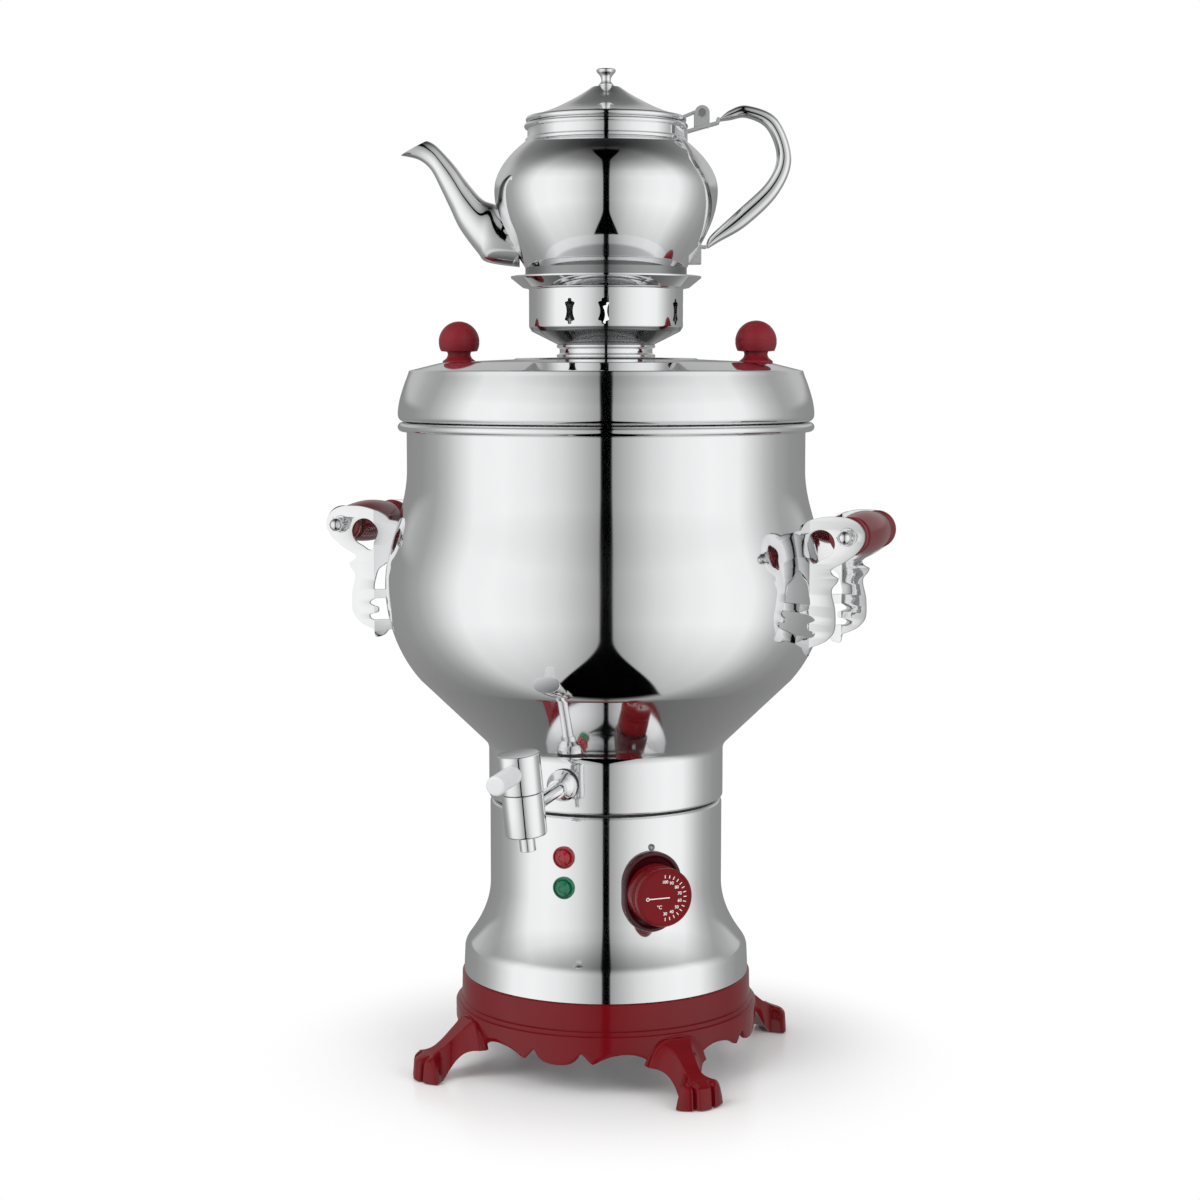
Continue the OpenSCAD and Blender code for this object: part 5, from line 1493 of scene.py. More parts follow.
@dataclass
class Tank:
    """The tank: neck, funnel, belly and rolled rim."""

    shop: Workshop
    levels: Levels
    neck_r: float = 67 * MM
    neck_h: float = 27 * MM
    fillet_r: float = 8 * MM
    belly_r: float = 125.4 * MM
    belly_h: float = 121.6 * MM
    arc_r: float = 64.7 * MM
    arc_h: float = 75 * MM
    shoulder_h: float = 65.4 * MM
    mouth_r: float = 112.6 * MM
    bead_r: float = 2.6 * MM
    rim_out: float = 5 * MM
    wall: float = 1.2 * MM
    funnel_angle: float = 45.0

    def build(self) -> None:
        """Makes the shell."""
        self.shop.piece("tank_shell", lathe(self.section(), steps=256), Finish.STEEL,
                        ("tank", "tank_bottom"))

    def outline(self) -> np.ndarray:
        """The outside from the floor's middle to the rim.

        A straight neck and a small fillet lead to a straight funnel; the lower belly is
        part of an ellipse, and the shoulder is a cosine S up to a straight wall.

        Returns:
            The points of radius and height.
        """
        floor = self.levels.tank_floor
        belly = floor + self.belly_h
        r = self.neck_r
        foot = rounded([(0, floor, 0), (r, floor, 1.5 * MM), (r, floor + self.neck_h, 0)], 5)
        extra = np.array([[r, floor + self.neck_h * s] for s in (0.25, 0.5, 0.75)])
        foot = chain(foot[:-1], extra)
        a = np.radians(np.linspace(0, self.funnel_angle, 13))
        fillet = np.stack([r + self.fillet_r * (1 - np.cos(a)),
                           floor + self.neck_h + self.fillet_r * np.sin(a)], 1)
        a = np.radians(self.funnel_angle) * (1 - np.linspace(0, 1, 33)**1.2)
        low = np.stack([self.belly_r - self.arc_r * (1 - np.cos(a)),
                        belly - self.arc_h * np.sin(a)], 1)
        t = np.linspace(0, 1, 5)[1:-1, None]
        funnel = fillet[-1] + t * (low[0] - fillet[-1])
        funnel = chain(funnel, [low[0] - (low[0] - fillet[-1]) * 0.02])
        t = np.linspace(0, 1, 37)[1:]
        shoulder = np.stack([self.belly_r - (self.belly_r - self.mouth_r) * ease(t),
                             belly + self.shoulder_h * t], 1)
        under_rim = self.levels.tank_top - self.bead_r
        straight = np.stack([np.full(5, self.mouth_r),
                             np.linspace(shoulder[-1, 1], under_rim - 1 * MM, 6)[1:]], 1)
        return chain(foot, fillet, funnel, low, shoulder, straight)

    def section(self) -> np.ndarray:
        """The outside, the rolled bead, and the inside back to the floor's middle.

        Returns:
            The points of the closed section.
        """
        outside = self.outline()
        centre = (self.mouth_r + self.rim_out - self.bead_r, self.levels.tank_top - self.bead_r)
        bead = arc(centre, self.bead_r, -160, 150, 20)
        inside = to_the_left(outside, self.wall)
        inside[0, 0] = 0
        lip = np.array([[self.mouth_r - self.wall, self.levels.tank_top - self.bead_r + 0.6 * MM]])
        return chain(outside, bead, lip, inside[::-1])

    def radius(self, z: np.ndarray) -> np.ndarray:
        """Radius of the tank's outside at a height above its neck.

        Args:
            z: heights.

        Returns:
            The radius at each.
        """
        line = self.outline()
        upper = line[line[:, 1] > self.levels.tank_floor + self.neck_h]
        return np.interp(z, upper[:, 1], upper[:, 0])


# ---- tap


@dataclass
class Tap:
    """The tap: domed flange, sloping shank, body with nozzle, turning cap and lever."""

    shop: Workshop
    levels: Levels
    neck_r: float
    height: float = 16.4 * MM
    reach: float = 56.5 * MM
    droop: float = 5.0
    lean: float = -4.0
    body_r: float = 11.1 * MM
    cap_r: float = 11.4 * MM
    body_low: float = -12.4 * MM
    seam_at: float = 10.7 * MM
    gap: float = 0.3 * MM
    cap_top: float = 31.8 * MM
    nozzle_r: float = 4.3 * MM
    nozzle_wall: float = 1.3 * MM
    nozzle_l: float = 8.5 * MM
    lever_at: float = 22.6 * MM
    lever_r: float = 5.2 * MM
    lever_l: float = 34 * MM
    plug_r: float = 6.55 * MM
    shank_r: float = 4 * MM
    flange_r: float = 8.8 * MM
    washer_t: float = 1.4 * MM

    @property
    def frame(self) -> Matrix:
        """The tap's own frame: -Y outward along the shank, Z along the tap's axis."""
        return (shift(0, -self.neck_r, self.levels.tank_floor + self.height)
                @ about("X", self.droop) @ about("Y", self.lean))

    @property
    def axis(self) -> Matrix:
        """The frame on the tap's own turning axis."""
        return self.frame @ shift(0, -self.reach, 0)

    @property
    def outward(self) -> Matrix:
        """The frame along the shank, with +Z away from the tank."""
        return self.frame @ about("X", 90)

    def build(self) -> None:
        """Makes the tap's visible pieces."""
        shop = self.shop
        for name, shape, place, finish, node in (
                ("tap_barrel", self.barrel(), self.axis, Finish.STEEL, "tap_body"),
                ("tap_turning_cap", self.cap(), self.axis, Finish.STEEL, "tap_cap"),
                ("tap_lever_peg", self.lever(), self.lever_place(), Finish.LEVER, "tap_lever"),
                ("tap_dome_nut", self.dome(), self.outward, Finish.STEEL, "tap_flange")):
            shop.piece(name, shape.moved(place), finish, (node,), sharp=30)
        shop.refined("tap_shank", Finish.STEEL, 0)

    def barrel(self) -> Shape:
        """The lower body: outside with eased edges, nozzle, and the bore for the plug.

        Returns:
            The body about the tap's axis.
        """
        r, n, bore, low, end, seam, plug = in_mm(
            self.body_r, self.nozzle_r, self.nozzle_r - self.nozzle_wall, self.body_low,
            self.body_low - self.nozzle_l, self.seam_at, self.plug_r)
        return lathe(rounded([
            (bore, low + 4, 0), (bore, end, 0.3), (n, end, 0.4),
            (n, low, 0.5), (r, low, 1.3), (r, seam, 0.5),
            (plug, seam, 0.2), (plug, low + 4, 0.2), (bore, low + 4, 0)], 5) * MM,
            closed=False, steps=128)

    def cap(self) -> Shape:
        """The turning cap over the plug.

        Returns:
            The cap about the tap's axis.
        """
        r, low, top, inner = in_mm(self.cap_r, self.seam_at + self.gap, self.cap_top, self.plug_r)
        return lathe(rounded([
            (0, top - 6, 0), (inner, top - 6, 0.2), (inner, low, 0.2),
            (r, low, 0.5), (r, top, 0.8), (0, top, 0)], 5) * MM, closed=False, steps=128)

    def lever_place(self) -> Matrix:
        """Where the lever's peg sits: across the cap, pointing outward."""
        return (self.axis @ shift(0, 0, self.lever_at)
                @ about("X", 90))

    def lever(self) -> Shape:
        """A round peg with a soft end.

        Returns:
            The peg along +Z.
        """
        r, long, cap = in_mm(self.lever_r, self.lever_l, self.cap_r)
        root = cap - 3
        return lathe(rounded([
            (0, root, 0), (r, root, 0.1), (r, long, 1.5), (0, long + 0.01, 0)], 8) * MM,
            closed=False, steps=96)

    def dome(self) -> Shape:
        """A domed nut against a washer, with a short collar where the shank leaves it.

        Returns:
            Both, along the shank.
        """
        w, r, s = in_mm(self.washer_t, self.flange_r, self.shank_r)
        outside = [(s - 0.2, w, 0), (r, w, 0.2), (r, w + 1.7, 0.4),
                   (r - 1.1, w + 4.2, 3), (r - 3.4, w + 6.4, 2),
                   (s + 1.3, w + 7, 0.4), (s + 1.2, w + 9.2, 0.4),
                   (s - 0.2, w + 9.2, 0)]
        return lathe(rounded(outside, 5) * MM, steps=96)


# ---- lid and collar


@dataclass
class Lid:
    """The tank's lid with two ball knobs."""

    shop: Workshop
    levels: Levels
    rim_r: float = 117.6 * MM
    shoulder_h: float = 27.5 * MM
    hole_r: float = 23.2 * MM
    lip_r: float = 110.9 * MM
    lip_drop: float = 8 * MM
    sheet: float = 1.2 * MM
    turned: float = 11.5
    knob_at: float = 84.8 * MM
    ball_r: float = 11.6 * MM
    ball_over: float = 9 * MM
    foot_drop: float = 3.3 * MM

    def build(self) -> None:
        """Makes the lid's shell and its knobs."""
        self.shop.piece("lid_shell", lathe(self.section(), steps=256), Finish.STEEL, ("lid",))
        ball = self.knob()
        pair = [ball.moved(about("Z", self.turned) @ shift(s * self.knob_at, 0, 0))
                for s in (-1, 1)]
        self.shop.piece("lid_ball_knobs", pair[0].plus(pair[1]), Finish.BALL, ("lid_knobs",),
                        sharp=40)

    def section(self) -> np.ndarray:
        """The outside from the lip over the bulged side and the stepped top, and the inside.

        Returns:
            The points of the closed section.
        """
        r, z, top, shoulder, hole, lip_r, low, t = in_mm(
            self.rim_r, self.levels.lid_foot, self.levels.lid_top,
            self.levels.lid_foot + self.shoulder_h, self.hole_r, self.lip_r,
            self.levels.lid_foot - self.lip_drop, self.sheet)
        side = smooth_through([
            (r - 3, z), (r - 1, z + 1.4), (r - 0.1, z + 4.2),
            (r - 0.9, z + 11), (r - 3.2, z + 19), (r - 6, shoulder - 1)],
            7)
        plain = self.knob_at / MM + 8
        over = rounded([
            (r - 6, shoulder - 1, 0), (r - 6.6, shoulder + 1, 0.9),
            (r - 9.2, shoulder + 1.6, 1.2), (plain, top - 2.8, 20),
            (52, top - 0.95, 1), (50.6, top - 0.25, 0.8),
            (47.5, top - 0.2, 0.8), (46.2, top - 0.65, 0.8),
            (32, top, 4), (hole, top, 0)], 5)
        lip = rounded([
            (lip_r - t, z + t, 0), (lip_r - t, low, 0.3), (lip_r, low, 0.3), (lip_r, z, 0.5),
            (r - 3, z, 0)], 4)
        inner = np.array([
            (hole, top - t), (32, top - t), (plain, top - 2.8 - t), (r - 9.6, shoulder + 0.3),
            (r - 7.2, shoulder - 1.4), (r - 4.6, z + 19), (r - 2.2, z + 11), (r - 1.6, z + 5),
            (r - 3.2, z + t + 0.3)])
        return chain(lip, side[1:], over[1:], inner) * MM

    def knob(self) -> Shape:
        """A ball with a parting line on a short waisted neck and a round foot.

        Returns:
            The knob, before it is placed.
        """
        centre, r, foot = in_mm(self.levels.lid_top + self.ball_over, self.ball_r,
                                self.levels.lid_top - self.foot_drop)
        neck = smooth_through([(9.2, foot + 1.6), (7.4, foot + 3),
                               (6.5, foot + 5), (6.9, foot + 6.6)], 5)
        start = math.degrees(math.asin((foot + 7 - centre) / r))
        ball = arc((0, centre), r, start, 90, 48)
        line = np.exp(-(((ball[:, 1] - centre) / 0.22)**2)) * 0.12
        ball[:, 0] = np.maximum(ball[:, 0] - line, 0)
        base = np.array([(0, foot - 1), (9.4, foot - 1), (9.5, foot + 0.9)])
        return lathe(chain(base, neck, ball) * MM, closed=False, steps=96)


@dataclass
class Collar:
    """The pierced collar that carries the teapot."""

    shop: Workshop
    levels: Levels
    wall_r: float = 43.4 * MM
    neck_r: float = 26.2 * MM
    spigot_r: float = 23.1 * MM
    brim_out: float = 10.1 * MM
    brim_rise: float = 5.2 * MM
    seat_out: float = 3.4 * MM
    sheet: float = 1.2 * MM
    height: float = 40.2 * MM
    turned: float = 5.8
    slot_spread: float = 12.8
    slot_at: float = 25.2 * MM
    slot_deep: float = 6 * MM
    # Painted shade: faces above cone_at over the lid and more than skin inside the wall's outside
    # get darkened steel
    cone_at: float = 7.2 * MM
    skin: float = 0.8 * MM

    def build(self) -> None:
        """Makes the collar with its eight cut-outs, with painted shade on its cone and inside."""
        spool = prism(self.spool(), self.wall_r - self.slot_deep, self.wall_r + self.slot_deep)
        height = self.levels.lid_top + self.slot_at
        cutters = [spool.moved(facing(self.turned + 90 * k + s * self.slot_spread, height))
                   for k in range(4) for s in (-1, 1)]
        mesh = self.shop.cut(lathe(self.section()), cutters, "collar_shell")
        shell = self.shop.piece("collar_shell", mesh, Finish.STEEL, ("pot_collar",))
        foot, seat = self.levels.lid_top, self.levels.lid_top + self.height
        # Painted shade: the cone and the inside of the wall get darkened steel
        self.shop.paint_shade(shell, Finish.PAINTED_SHADE, foot + self.cone_at, seat, 0, self.wall_r - self.skin)

    def section(self) -> np.ndarray:
        """Spigot, beaded neck, cone, straight wall and thin brim, and back inside.

        Returns:
            The points of the closed section.
        """
        z, n, w, t, s = in_mm(self.levels.lid_top, self.neck_r, self.wall_r, self.sheet,
                              self.spigot_r)
        seat, top, out, tip = in_mm(
            self.levels.lid_top + self.height, self.levels.lid_top + self.height + self.brim_rise,
            self.wall_r + self.seat_out, self.wall_r + self.brim_out)
        return rounded([
            (s - t, z + 1, 0), (s - t, z - 2 * t, 0.2), (s + 2.4, z - 2 * t, 0.2),
            (s + 2.4, z - t, 0.2), (s, z - t, 0.2), (s, z, 0.2), (n + 1.6, z, 0.6),
            (n + 1.6, z + 1.7, 0.7), (n, z + 2.3, 0.5), (n, z + 5, 0.5), (n + 1.5, z + 5.6, 0.6),
            (n + 1.6, z + 6.9, 0.5), (n + 1, z + 7.3, 0.3), (w - 1.6, z + 14.6, 1.4),
            (w, z + 17.2, 1.6), (w, seat - t - 0.6, 0.9), (out, seat - t, 1.1),
            (tip, top - 1, 0.3), (tip + 0.1, top, 0.3), (tip - 0.8, top, 0.3),
            (out - 0.5, seat, 1.2), (w - t, seat, 0.6), (w - t, z + 17.4, 1.4),
            (w - 2.6, z + 15.6, 1.2), (n - 0.2, z + 7.6, 0.3), (n - t, z + 5.2, 0.4),
            (n - t, z + 2.2, 0.3), (n - t, z + 1, 0.3), (s - t, z + 1, 0)], 4)[:-1] * MM

    def spool(self) -> np.ndarray:
        """A cut-out like a turned spool: a nub at each end, two bars and a slender waist.

        Returns:
            The cut-out's points.
        """
        quarter = chain(
            smooth_through([(1.9, 0), (2, 1.2), (2.3, 2.6), (3, 4.2)], 4),
            smooth_through([(3, 4.8), (2.2, 5.2), (1.1, 5.5)], 3),
            smooth_through([(1.15, 6.2), (0.95, 6.8), (0.5, 7.1)], 3))
        half = chain(quarter[::-1] * [1, -1], quarter[1:])
        return chain(half, half[::-1] * [-1, 1]) * MM


# ---- teapot


@dataclass
class Teapot:
    """The teapot: body, spout, folded handle, hinged cover and finial."""

    shop: Workshop
    levels: Levels
    turned: float = 20.5
    foot_r: float = 45.4 * MM
    belly_r: float = 62.6 * MM
    belly_h: float = 52.2 * MM
    neck_r: float = 44 * MM
    neck_h: float = 9 * MM
    bead_r: float = 1.6 * MM
    sheet: float = 1.2 * MM
    foot_h: float = 9.6 * MM
    cover_gap: float = 0.3 * MM
    cone_h: float = 18 * MM
    # Spout: its sheet, how far it sinks into the body, and the angle and fall of its creases
    spout_wall: float = 0.9 * MM
    spout_in: float = 0.5 * MM
    spout_crease: float = 48.0
    spout_flat: float = 0.62
    # Handle: how box-like its section is, and the depth and width of its fold line
    handle_power: float = 0.72
    fold_deep: float = 0.30
    fold_wide: float = 0.22

    def build(self) -> None:
        """Makes the teapot's pieces."""
        shop, at = self.shop, about("Z", self.turned)
        body = shop.cut(lathe(self.body()).moved(at), self.strainer(at), "pot_shell")
        shell = shop.piece("pot_shell", body, Finish.STEEL, ("pot_body",), sharp=28)
        foot = self.levels.pot_foot
        # Painted shade: the foot band under the belly gets darkened steel
        shop.paint_shade(shell, Finish.PAINTED_SHADE, foot, foot + self.foot_h - 0.2 * MM, self.foot_r - 3 * MM,
                   math.inf)
        for name, shape, node, sharp, mend in (
                ("pot_spout_tube", self.spout(), "pot_spout", 24, True),
                ("pot_handle_tube", self.handle(), "pot_handle", 30, True),
                ("pot_cover", lathe(self.cover()), "pot_lid", 30, False),
                ("pot_cover_finial", self.finial(), "pot_finial", 30, False)):
            shop.piece(name, shape.moved(at), Finish.STEEL, (node,), sharp, mend)
        for node in ("pot_hinge_bracket", "pot_handle_foot", "pot_lid_tab"):
            shop.refined(node, Finish.SATIN, 0.22 * MM)
        shop.refined("pot_hinge_pin", Finish.PLATED, 0.2 * MM)

    def outline(self) -> np.ndarray:
        """The body's outside from the middle of its foot to its rim.

        A sine opens the lower body, a parabola closes the shoulder, and a small step
        leads to a straight neck.

        Returns:
            The points of radius and height.
        """
        z0, z1, neck, belly, foot_top = in_mm(
            self.levels.pot_foot, self.levels.pot_rim, self.levels.pot_rim - self.neck_h,
            self.levels.pot_foot + self.belly_h, self.levels.pot_foot + self.foot_h)
        foot_r, belly_r, neck_r = in_mm(self.foot_r, self.belly_r, self.neck_r)
        foot = rounded([(0, z0, 0), (foot_r, z0, 1.6), (foot_r, foot_top, 0)], 5)
        foot = chain(foot[:-1], [[foot_r, (z0 + foot_top) / 2]])
        t = np.linspace(0, 1, 37)
        lower = np.stack([foot_r + (belly_r - foot_r) * np.sin(np.pi / 2 * t),
                          foot_top + (belly - foot_top) * t], 1)
        t = t[1:]
        upper = np.stack([belly_r - (belly_r - neck_r - 1.2) * t**2,
                          belly + (neck - 1 - belly) * t], 1)
        collar = rounded([(neck_r + 1.2, neck - 1, 0), (neck_r + 1.1, neck + 0.6, 0.6),
                          (neck_r, neck + 1, 0.6), (neck_r, z1 - 3, 0)], 4)
        return chain(foot, lower, upper, collar[1:]) * MM

    def body(self) -> np.ndarray:
        """The outside, the rolled bead at the rim, and the inside.

        Returns:
            The points of the closed section.
        """
        outside = self.outline()
        centre = (self.neck_r + 0.2 * MM, self.levels.pot_rim - self.bead_r)
        bead = arc(centre, self.bead_r, -60, 150, 14)
        inside = to_the_left(outside, self.sheet)
        inside[0, 0] = 0
        return chain(outside, bead, inside[::-1])

    def strainer(self, at: Matrix) -> list:
        """Cutters for nine small holes behind the spout.

        Args:
            at: the teapot's own turn.

        Returns:
            The cutters.
        """
        height = self.levels.pot_foot + self.belly_h - 22 * MM
        pitch = 6.5 * MM
        turn = full_turn(24)
        disc = 2.2 * MM * np.stack([np.cos(turn), np.sin(turn)], 1)
        through = prism(disc, self.belly_r - 22 * MM, self.belly_r + 4 * MM)
        out = at @ about("Z", -90) @ facing(0, height)
        return [through.moved(out @ shift(i * pitch, j * pitch, 0))
                for i in (-1, 0, 1) for j in (-1, 0, 1)]

    def spout(self) -> Shape:
        """The swan-necked spout with a crease along each upper flank.

        Rings run from the body to the mouth, each between its upper and its lower
        point. A ring is an oval whose upper part is pressed flatter, so that two crease
        lines appear. Points that lie in the body are put on its wall.

        Returns:
            The spout, pointing to -X.
        """
        # Upper x, upper z, lower x, lower z, width, from the belly's wall and the foot
        rings = smooth_through([
            (-12, 40, -14, 10, 24.5), (-2, 44.5, 4, 12.8, 25.2), (6.5, 47.6, 9.5, 18, 23),
            (14.6, 56.4, 19.4, 31.4, 19.6), (21.2, 65.2, 25, 43, 16.6),
            (26.4, 71.2, 30.4, 54.4, 14.2), (31.9, 76.8, 35.6, 64.2, 12.2),
            (34.9, 79, 42.4, 69.7, 11.3), (37.3, 80, 52.2, 72, 10.8)], 6) * MM
        turn = full_turn(64)
        up = np.cos(turn)
        crease = math.cos(math.radians(self.spout_crease))
        up = np.where(up > crease, crease + self.spout_flat * (up - crease), up)
        up = (up - up.min()) / (up.max() - up.min()) * 2 - 1
        skins = []
        for wall in (0, self.spout_wall):
            top, low = rings[:, 0:2], rings[:, 2:4]
            mid, half = (top + low) / 2, (top - low) / 2
            shrink = 1 - wall / np.linalg.norm(half, axis=1)
            side = mid[:, None] + half[:, None] * (shrink[:, None] * up)[..., None]
            wide = (rings[:, 4] / 2 - wall)[:, None] * np.sin(turn)
            skins.append(np.stack([-self.belly_r - side[..., 0], wide,
                                   self.levels.pot_foot + side[..., 1]], -1))
        tube = chain(skins[0], skins[1][::-1])
        line = self.outline()[8:]
        wall_r = np.interp(tube[..., 2], line[:, 1], line[:, 0]) - self.spout_in
        reach = np.hypot(tube[..., 0], tube[..., 1])
        push = np.where(reach < wall_r, wall_r / reach, 1)
        tube[..., :2] *= push[..., None]
        return grid(tube, close_rows=True)

    def handle(self) -> Shape:
        """The folded handle between its outer and its inner edge.

        Each ring is a box-like oval between the two edges, with a fold line pressed
        into the side that faces the teapot.

        Returns:
            The handle, pointing to +X.
        """
        z, neck_r, foot_r = in_mm(self.levels.pot_foot, self.neck_r, self.foot_r)
        x = neck_r + 19.2
        # From the hinge's foot down the loop, then the two last points from the handle's foot
        outer = [(0, 92.1), (6, 97), (16, 99.3), (32.4, 91.9), (40.4, 70.2), (33.2, 50.6),
                 (15.6, 33.2)]
        inner = [(0, 90.9), (6.4, 91.6), (15.4, 92.8), (26.6, 86.9), (32.2, 71.6), (26.6, 57.4),
                 (10, 41.6)]
        foot = (foot_r + 11, z + 20.5)
        outer = chain(np.add(outer, (x, z)), np.add([(7, 3.6), (1, 0)], foot))
        inner = chain(np.add(inner, (x, z)), np.add([(2.2, 7.4), (0, 1.6)], foot))
        wide = np.array([12, 12.6, 13, 13, 13, 13, 13, 12.6, 12])[:, None]
        rows = smooth_through(chain(outer, inner, wide, axis=1), 9) * MM
        turn = full_turn(56)
        sin, cos = np.sin(turn), np.cos(turn)
        across = np.sign(sin) * np.abs(sin)**self.handle_power
        along = np.sign(cos) * np.abs(cos)**self.handle_power
        along = along + self.fold_deep * np.exp(-((sin / self.fold_wide)**2)) * (cos < 0)
        mid, half = (rows[:, 0:2] + rows[:, 2:4]) / 2, (rows[:, 0:2] - rows[:, 2:4]) / 2
        side = mid[:, None] + half[:, None] * along[None, :, None]
        y = rows[:, 4:5] / 2 * across[None, :]
        return capped(np.stack([side[..., 0], y, side[..., 1]], -1))

    def cover(self) -> np.ndarray:
        """The hinged cover: bead, concave cone and the skirt that drops into the neck.

        Returns:
            The points of the closed section.
        """
        z, neck_r, sheet, cone_h = in_mm(self.levels.pot_rim + self.cover_gap, self.neck_r,
                                         self.sheet, self.cone_h)
        r, bead, peak = neck_r + 0.9, 1.7, z + cone_h + 2
        cone = smooth_through([(r - 1.3, z + 3.1), (38, z + 4.6),
                               (28.2, z + 8.3), (16, z + 14.6),
                               (7.8, peak - 0.1)], 7)
        skirt = neck_r - sheet - 0.6
        under = to_the_left(cone, 0.9)[::-1]
        lower = rounded([(skirt - 1, z + 1.4, 0), (skirt - 1, z - 6, 0.3),
                         (skirt, z - 6, 0.3), (skirt, z + 1, 0.4),
                         (r - bead, z + 1, 0)], 3)
        rim = arc((r - bead, z + bead), bead, -70, 110, 14)
        tip = np.array([(2.2, peak), (2.2, peak - 1)])
        return chain(lower, rim, cone, tip, under) * MM

    def finial(self) -> Shape:
        """A turned finial: stud, base bead, slender waist and a flared disc.

        Returns:
            The finial.
        """
        z = (self.levels.pot_rim + self.cover_gap + self.cone_h) / MM + 2
        neck = smooth_through([(3, z + 2.6), (2.7, z + 4),
                               (3.4, z + 6), (5.1, z + 7.9)], 6)
        head = arc((4.5, z + 8.9), 0.95, -50, 80, 8)
        bead = arc((3.3, z + 0.9), 0.95, -80, 80, 8)
        stud = np.array([(0, z - 4), (2, z - 4), (2, z - 0.1)])
        crown = np.array([(3, z + 9.95), (0, z + 10)])
        profile = chain(stud, bead, neck, head, crown) * MM
        return lathe(profile, closed=False, steps=64)


# ---- side handles


@dataclass
class SideHandles:
    """Two turned grips on rods between pierced bracket plates."""

    shop: Workshop
    tank: Tank
    grip_out: float = 24.6 * MM
    grip_h: float = 154 * MM
    grip_l: float = 67 * MM
    grip_r: float = 12 * MM
    barrel_r: float = 10 * MM
    bore_r: float = 2.6 * MM
    plate_t: float = 1.6 * MM
    edge: float = 0.3 * MM
    seat_in: float = 0.7 * MM
    fold_at: float = -20.6 * MM
    fold_angle: float = 45.0
    nut_flats: float = 8 * MM

    @property
    def x(self) -> float:
        """Distance of a grip's axis from the samovar's axis."""
        return self.tank.belly_r + self.grip_out

    @property
    def z(self) -> float:
        """Height of the grips."""
        return self.tank.levels.tank_floor + self.grip_h

    def build(self) -> None:
        """Makes plates, grips and nuts on both sides."""
        for side, word in ((1, "right"), (-1, "left")):
            plates = self.plates(side)
            self.shop.piece(f"bracket_plates_{word}", plates, Finish.STEEL,
                            (f"brackets_{word}",), sharp=30)
            at = shift(side * self.x, 0, self.z) @ about("X", 90)
            self.shop.piece(f"turned_grip_{word}", self.grip().moved(at), Finish.GRIP,
                            (f"grip_{word}",), sharp=30)
        ends = [self.nut().moved(shift(x * self.x, 0, self.z)
                                 @ about("X", s * 90)
                                 @ shift(0, 0, self.grip_l / 2 + self.plate_t))
                for x in (-1, 1) for s in (-1, 1)]
        self.shop.piece("grip_cap_nuts", ends[0].plus(*ends[1:]), Finish.STEEL,
                        ("grip_nuts",), sharp=30, mend=True)

    def wall(self, y: float, low: float, high: float, steps: int) -> np.ndarray:
        """The tank's wall in a folded plate's side view, from one height to another (mm).

        The fold carries the plate towards the other one as it nears the wall.

        Args:
            y: where the plate stands, from the middle between the two.
            low: the lower height from the bolt, in mm.
            high: the upper height.
            steps: how many points.

        Returns:
            The points, in metres.
        """
        z = np.linspace(low, high, steps) * MM
        slope = math.tan(math.radians(self.fold_angle))
        start = self.x + self.fold_at
        reach = start + slope * abs(y)
        radius = self.tank.radius(self.z + z) - self.seat_in
        left = start**2 + y**2 - radius**2
        deep = (reach - np.sqrt(reach**2 - (1 + slope**2) * left)) / (1 + slope**2)
        return np.stack([self.fold_at - deep, z], 1)

    def outline(self, y: float) -> np.ndarray:
        """A plate's outline round its bolt, +x outward: lobes outside, three tabs at the wall.

        Args:
            y: where the plate stands, from the middle between the two.

        Returns:
            The outline's points.
        """
        lobe = [(-27.2, 2.4), (-25.1, 5.4), (-20.9, 8.2), (-13, 10.1), (-6.6, 10.4), (0, 9.9),
                (5.6, 7.4), (8.6, 3.6), (9.3, 0.3), (8.5, -3.6), (5.2, -8.2), (-1.5, -13.2),
                (-7.4, -16.4), (-9.5, -18.3)]
        spur = [(-8.9, -19.8), (-7.6, -21.2), (-5.1, -22.4)]
        back = [(-5.3, -23.4), (-6.2, -25), (-8.5, -27.8), (-8.7, -31.5), (-7.1, -37.9),
                (-6.6, -43.9), (-6.9, -49.9), (-9, -53.6), (-13, -57), (-20.1, -59.9)]
        foot = [(-20.7, -62), (-21.4, -64.6), (-24.4, -63.6), (-26.2, -60.9)]
        low = [(-20.1, -55.1), (-18, -54.3), (-17.2, -52.1), (-19.3, -51), (-21.7, -50.3),
               (-22, -48.8), (-21.7, -47.6), (-19.3, -46.6), (-17.4, -45.4), (-18, -43.9),
               (-20.9, -42.2)]
        high = [(-20.9, -37.6), (-20, -36.5), (-20.9, -30.4), (-22.2, -25.5), (-24.6, -23.2)]
        lobe = smooth_through(lobe, 4) * MM
        spur, back, foot, low, high = (smooth_through(line, 3) * MM
                                       for line in (spur, back, foot, low, high))
        return chain(lobe, spur, back, foot, self.wall(y, -59.4, -55.3, 4), low,
                     self.wall(y, -42.2, -37.6, 4), high, self.wall(y, -18.4, 0.6, 10))

    def holes(self) -> list:
        """A plate's holes: one round the bolt, and an eye with a hooked foot.

        Returns:
            The outlines of the holes.
        """
        turn = full_turn(36)
        ring = np.stack([np.cos(turn), np.sin(turn)], 1)
        hook = np.exp(-((turn - 1.38 * np.pi) / 0.34)**2)[:, None]
        eye = ring * (8 * MM + 3.6 * MM * hook) + np.array([-14.6, -4.2]) * MM
        return [ring * self.bore_r, eye]

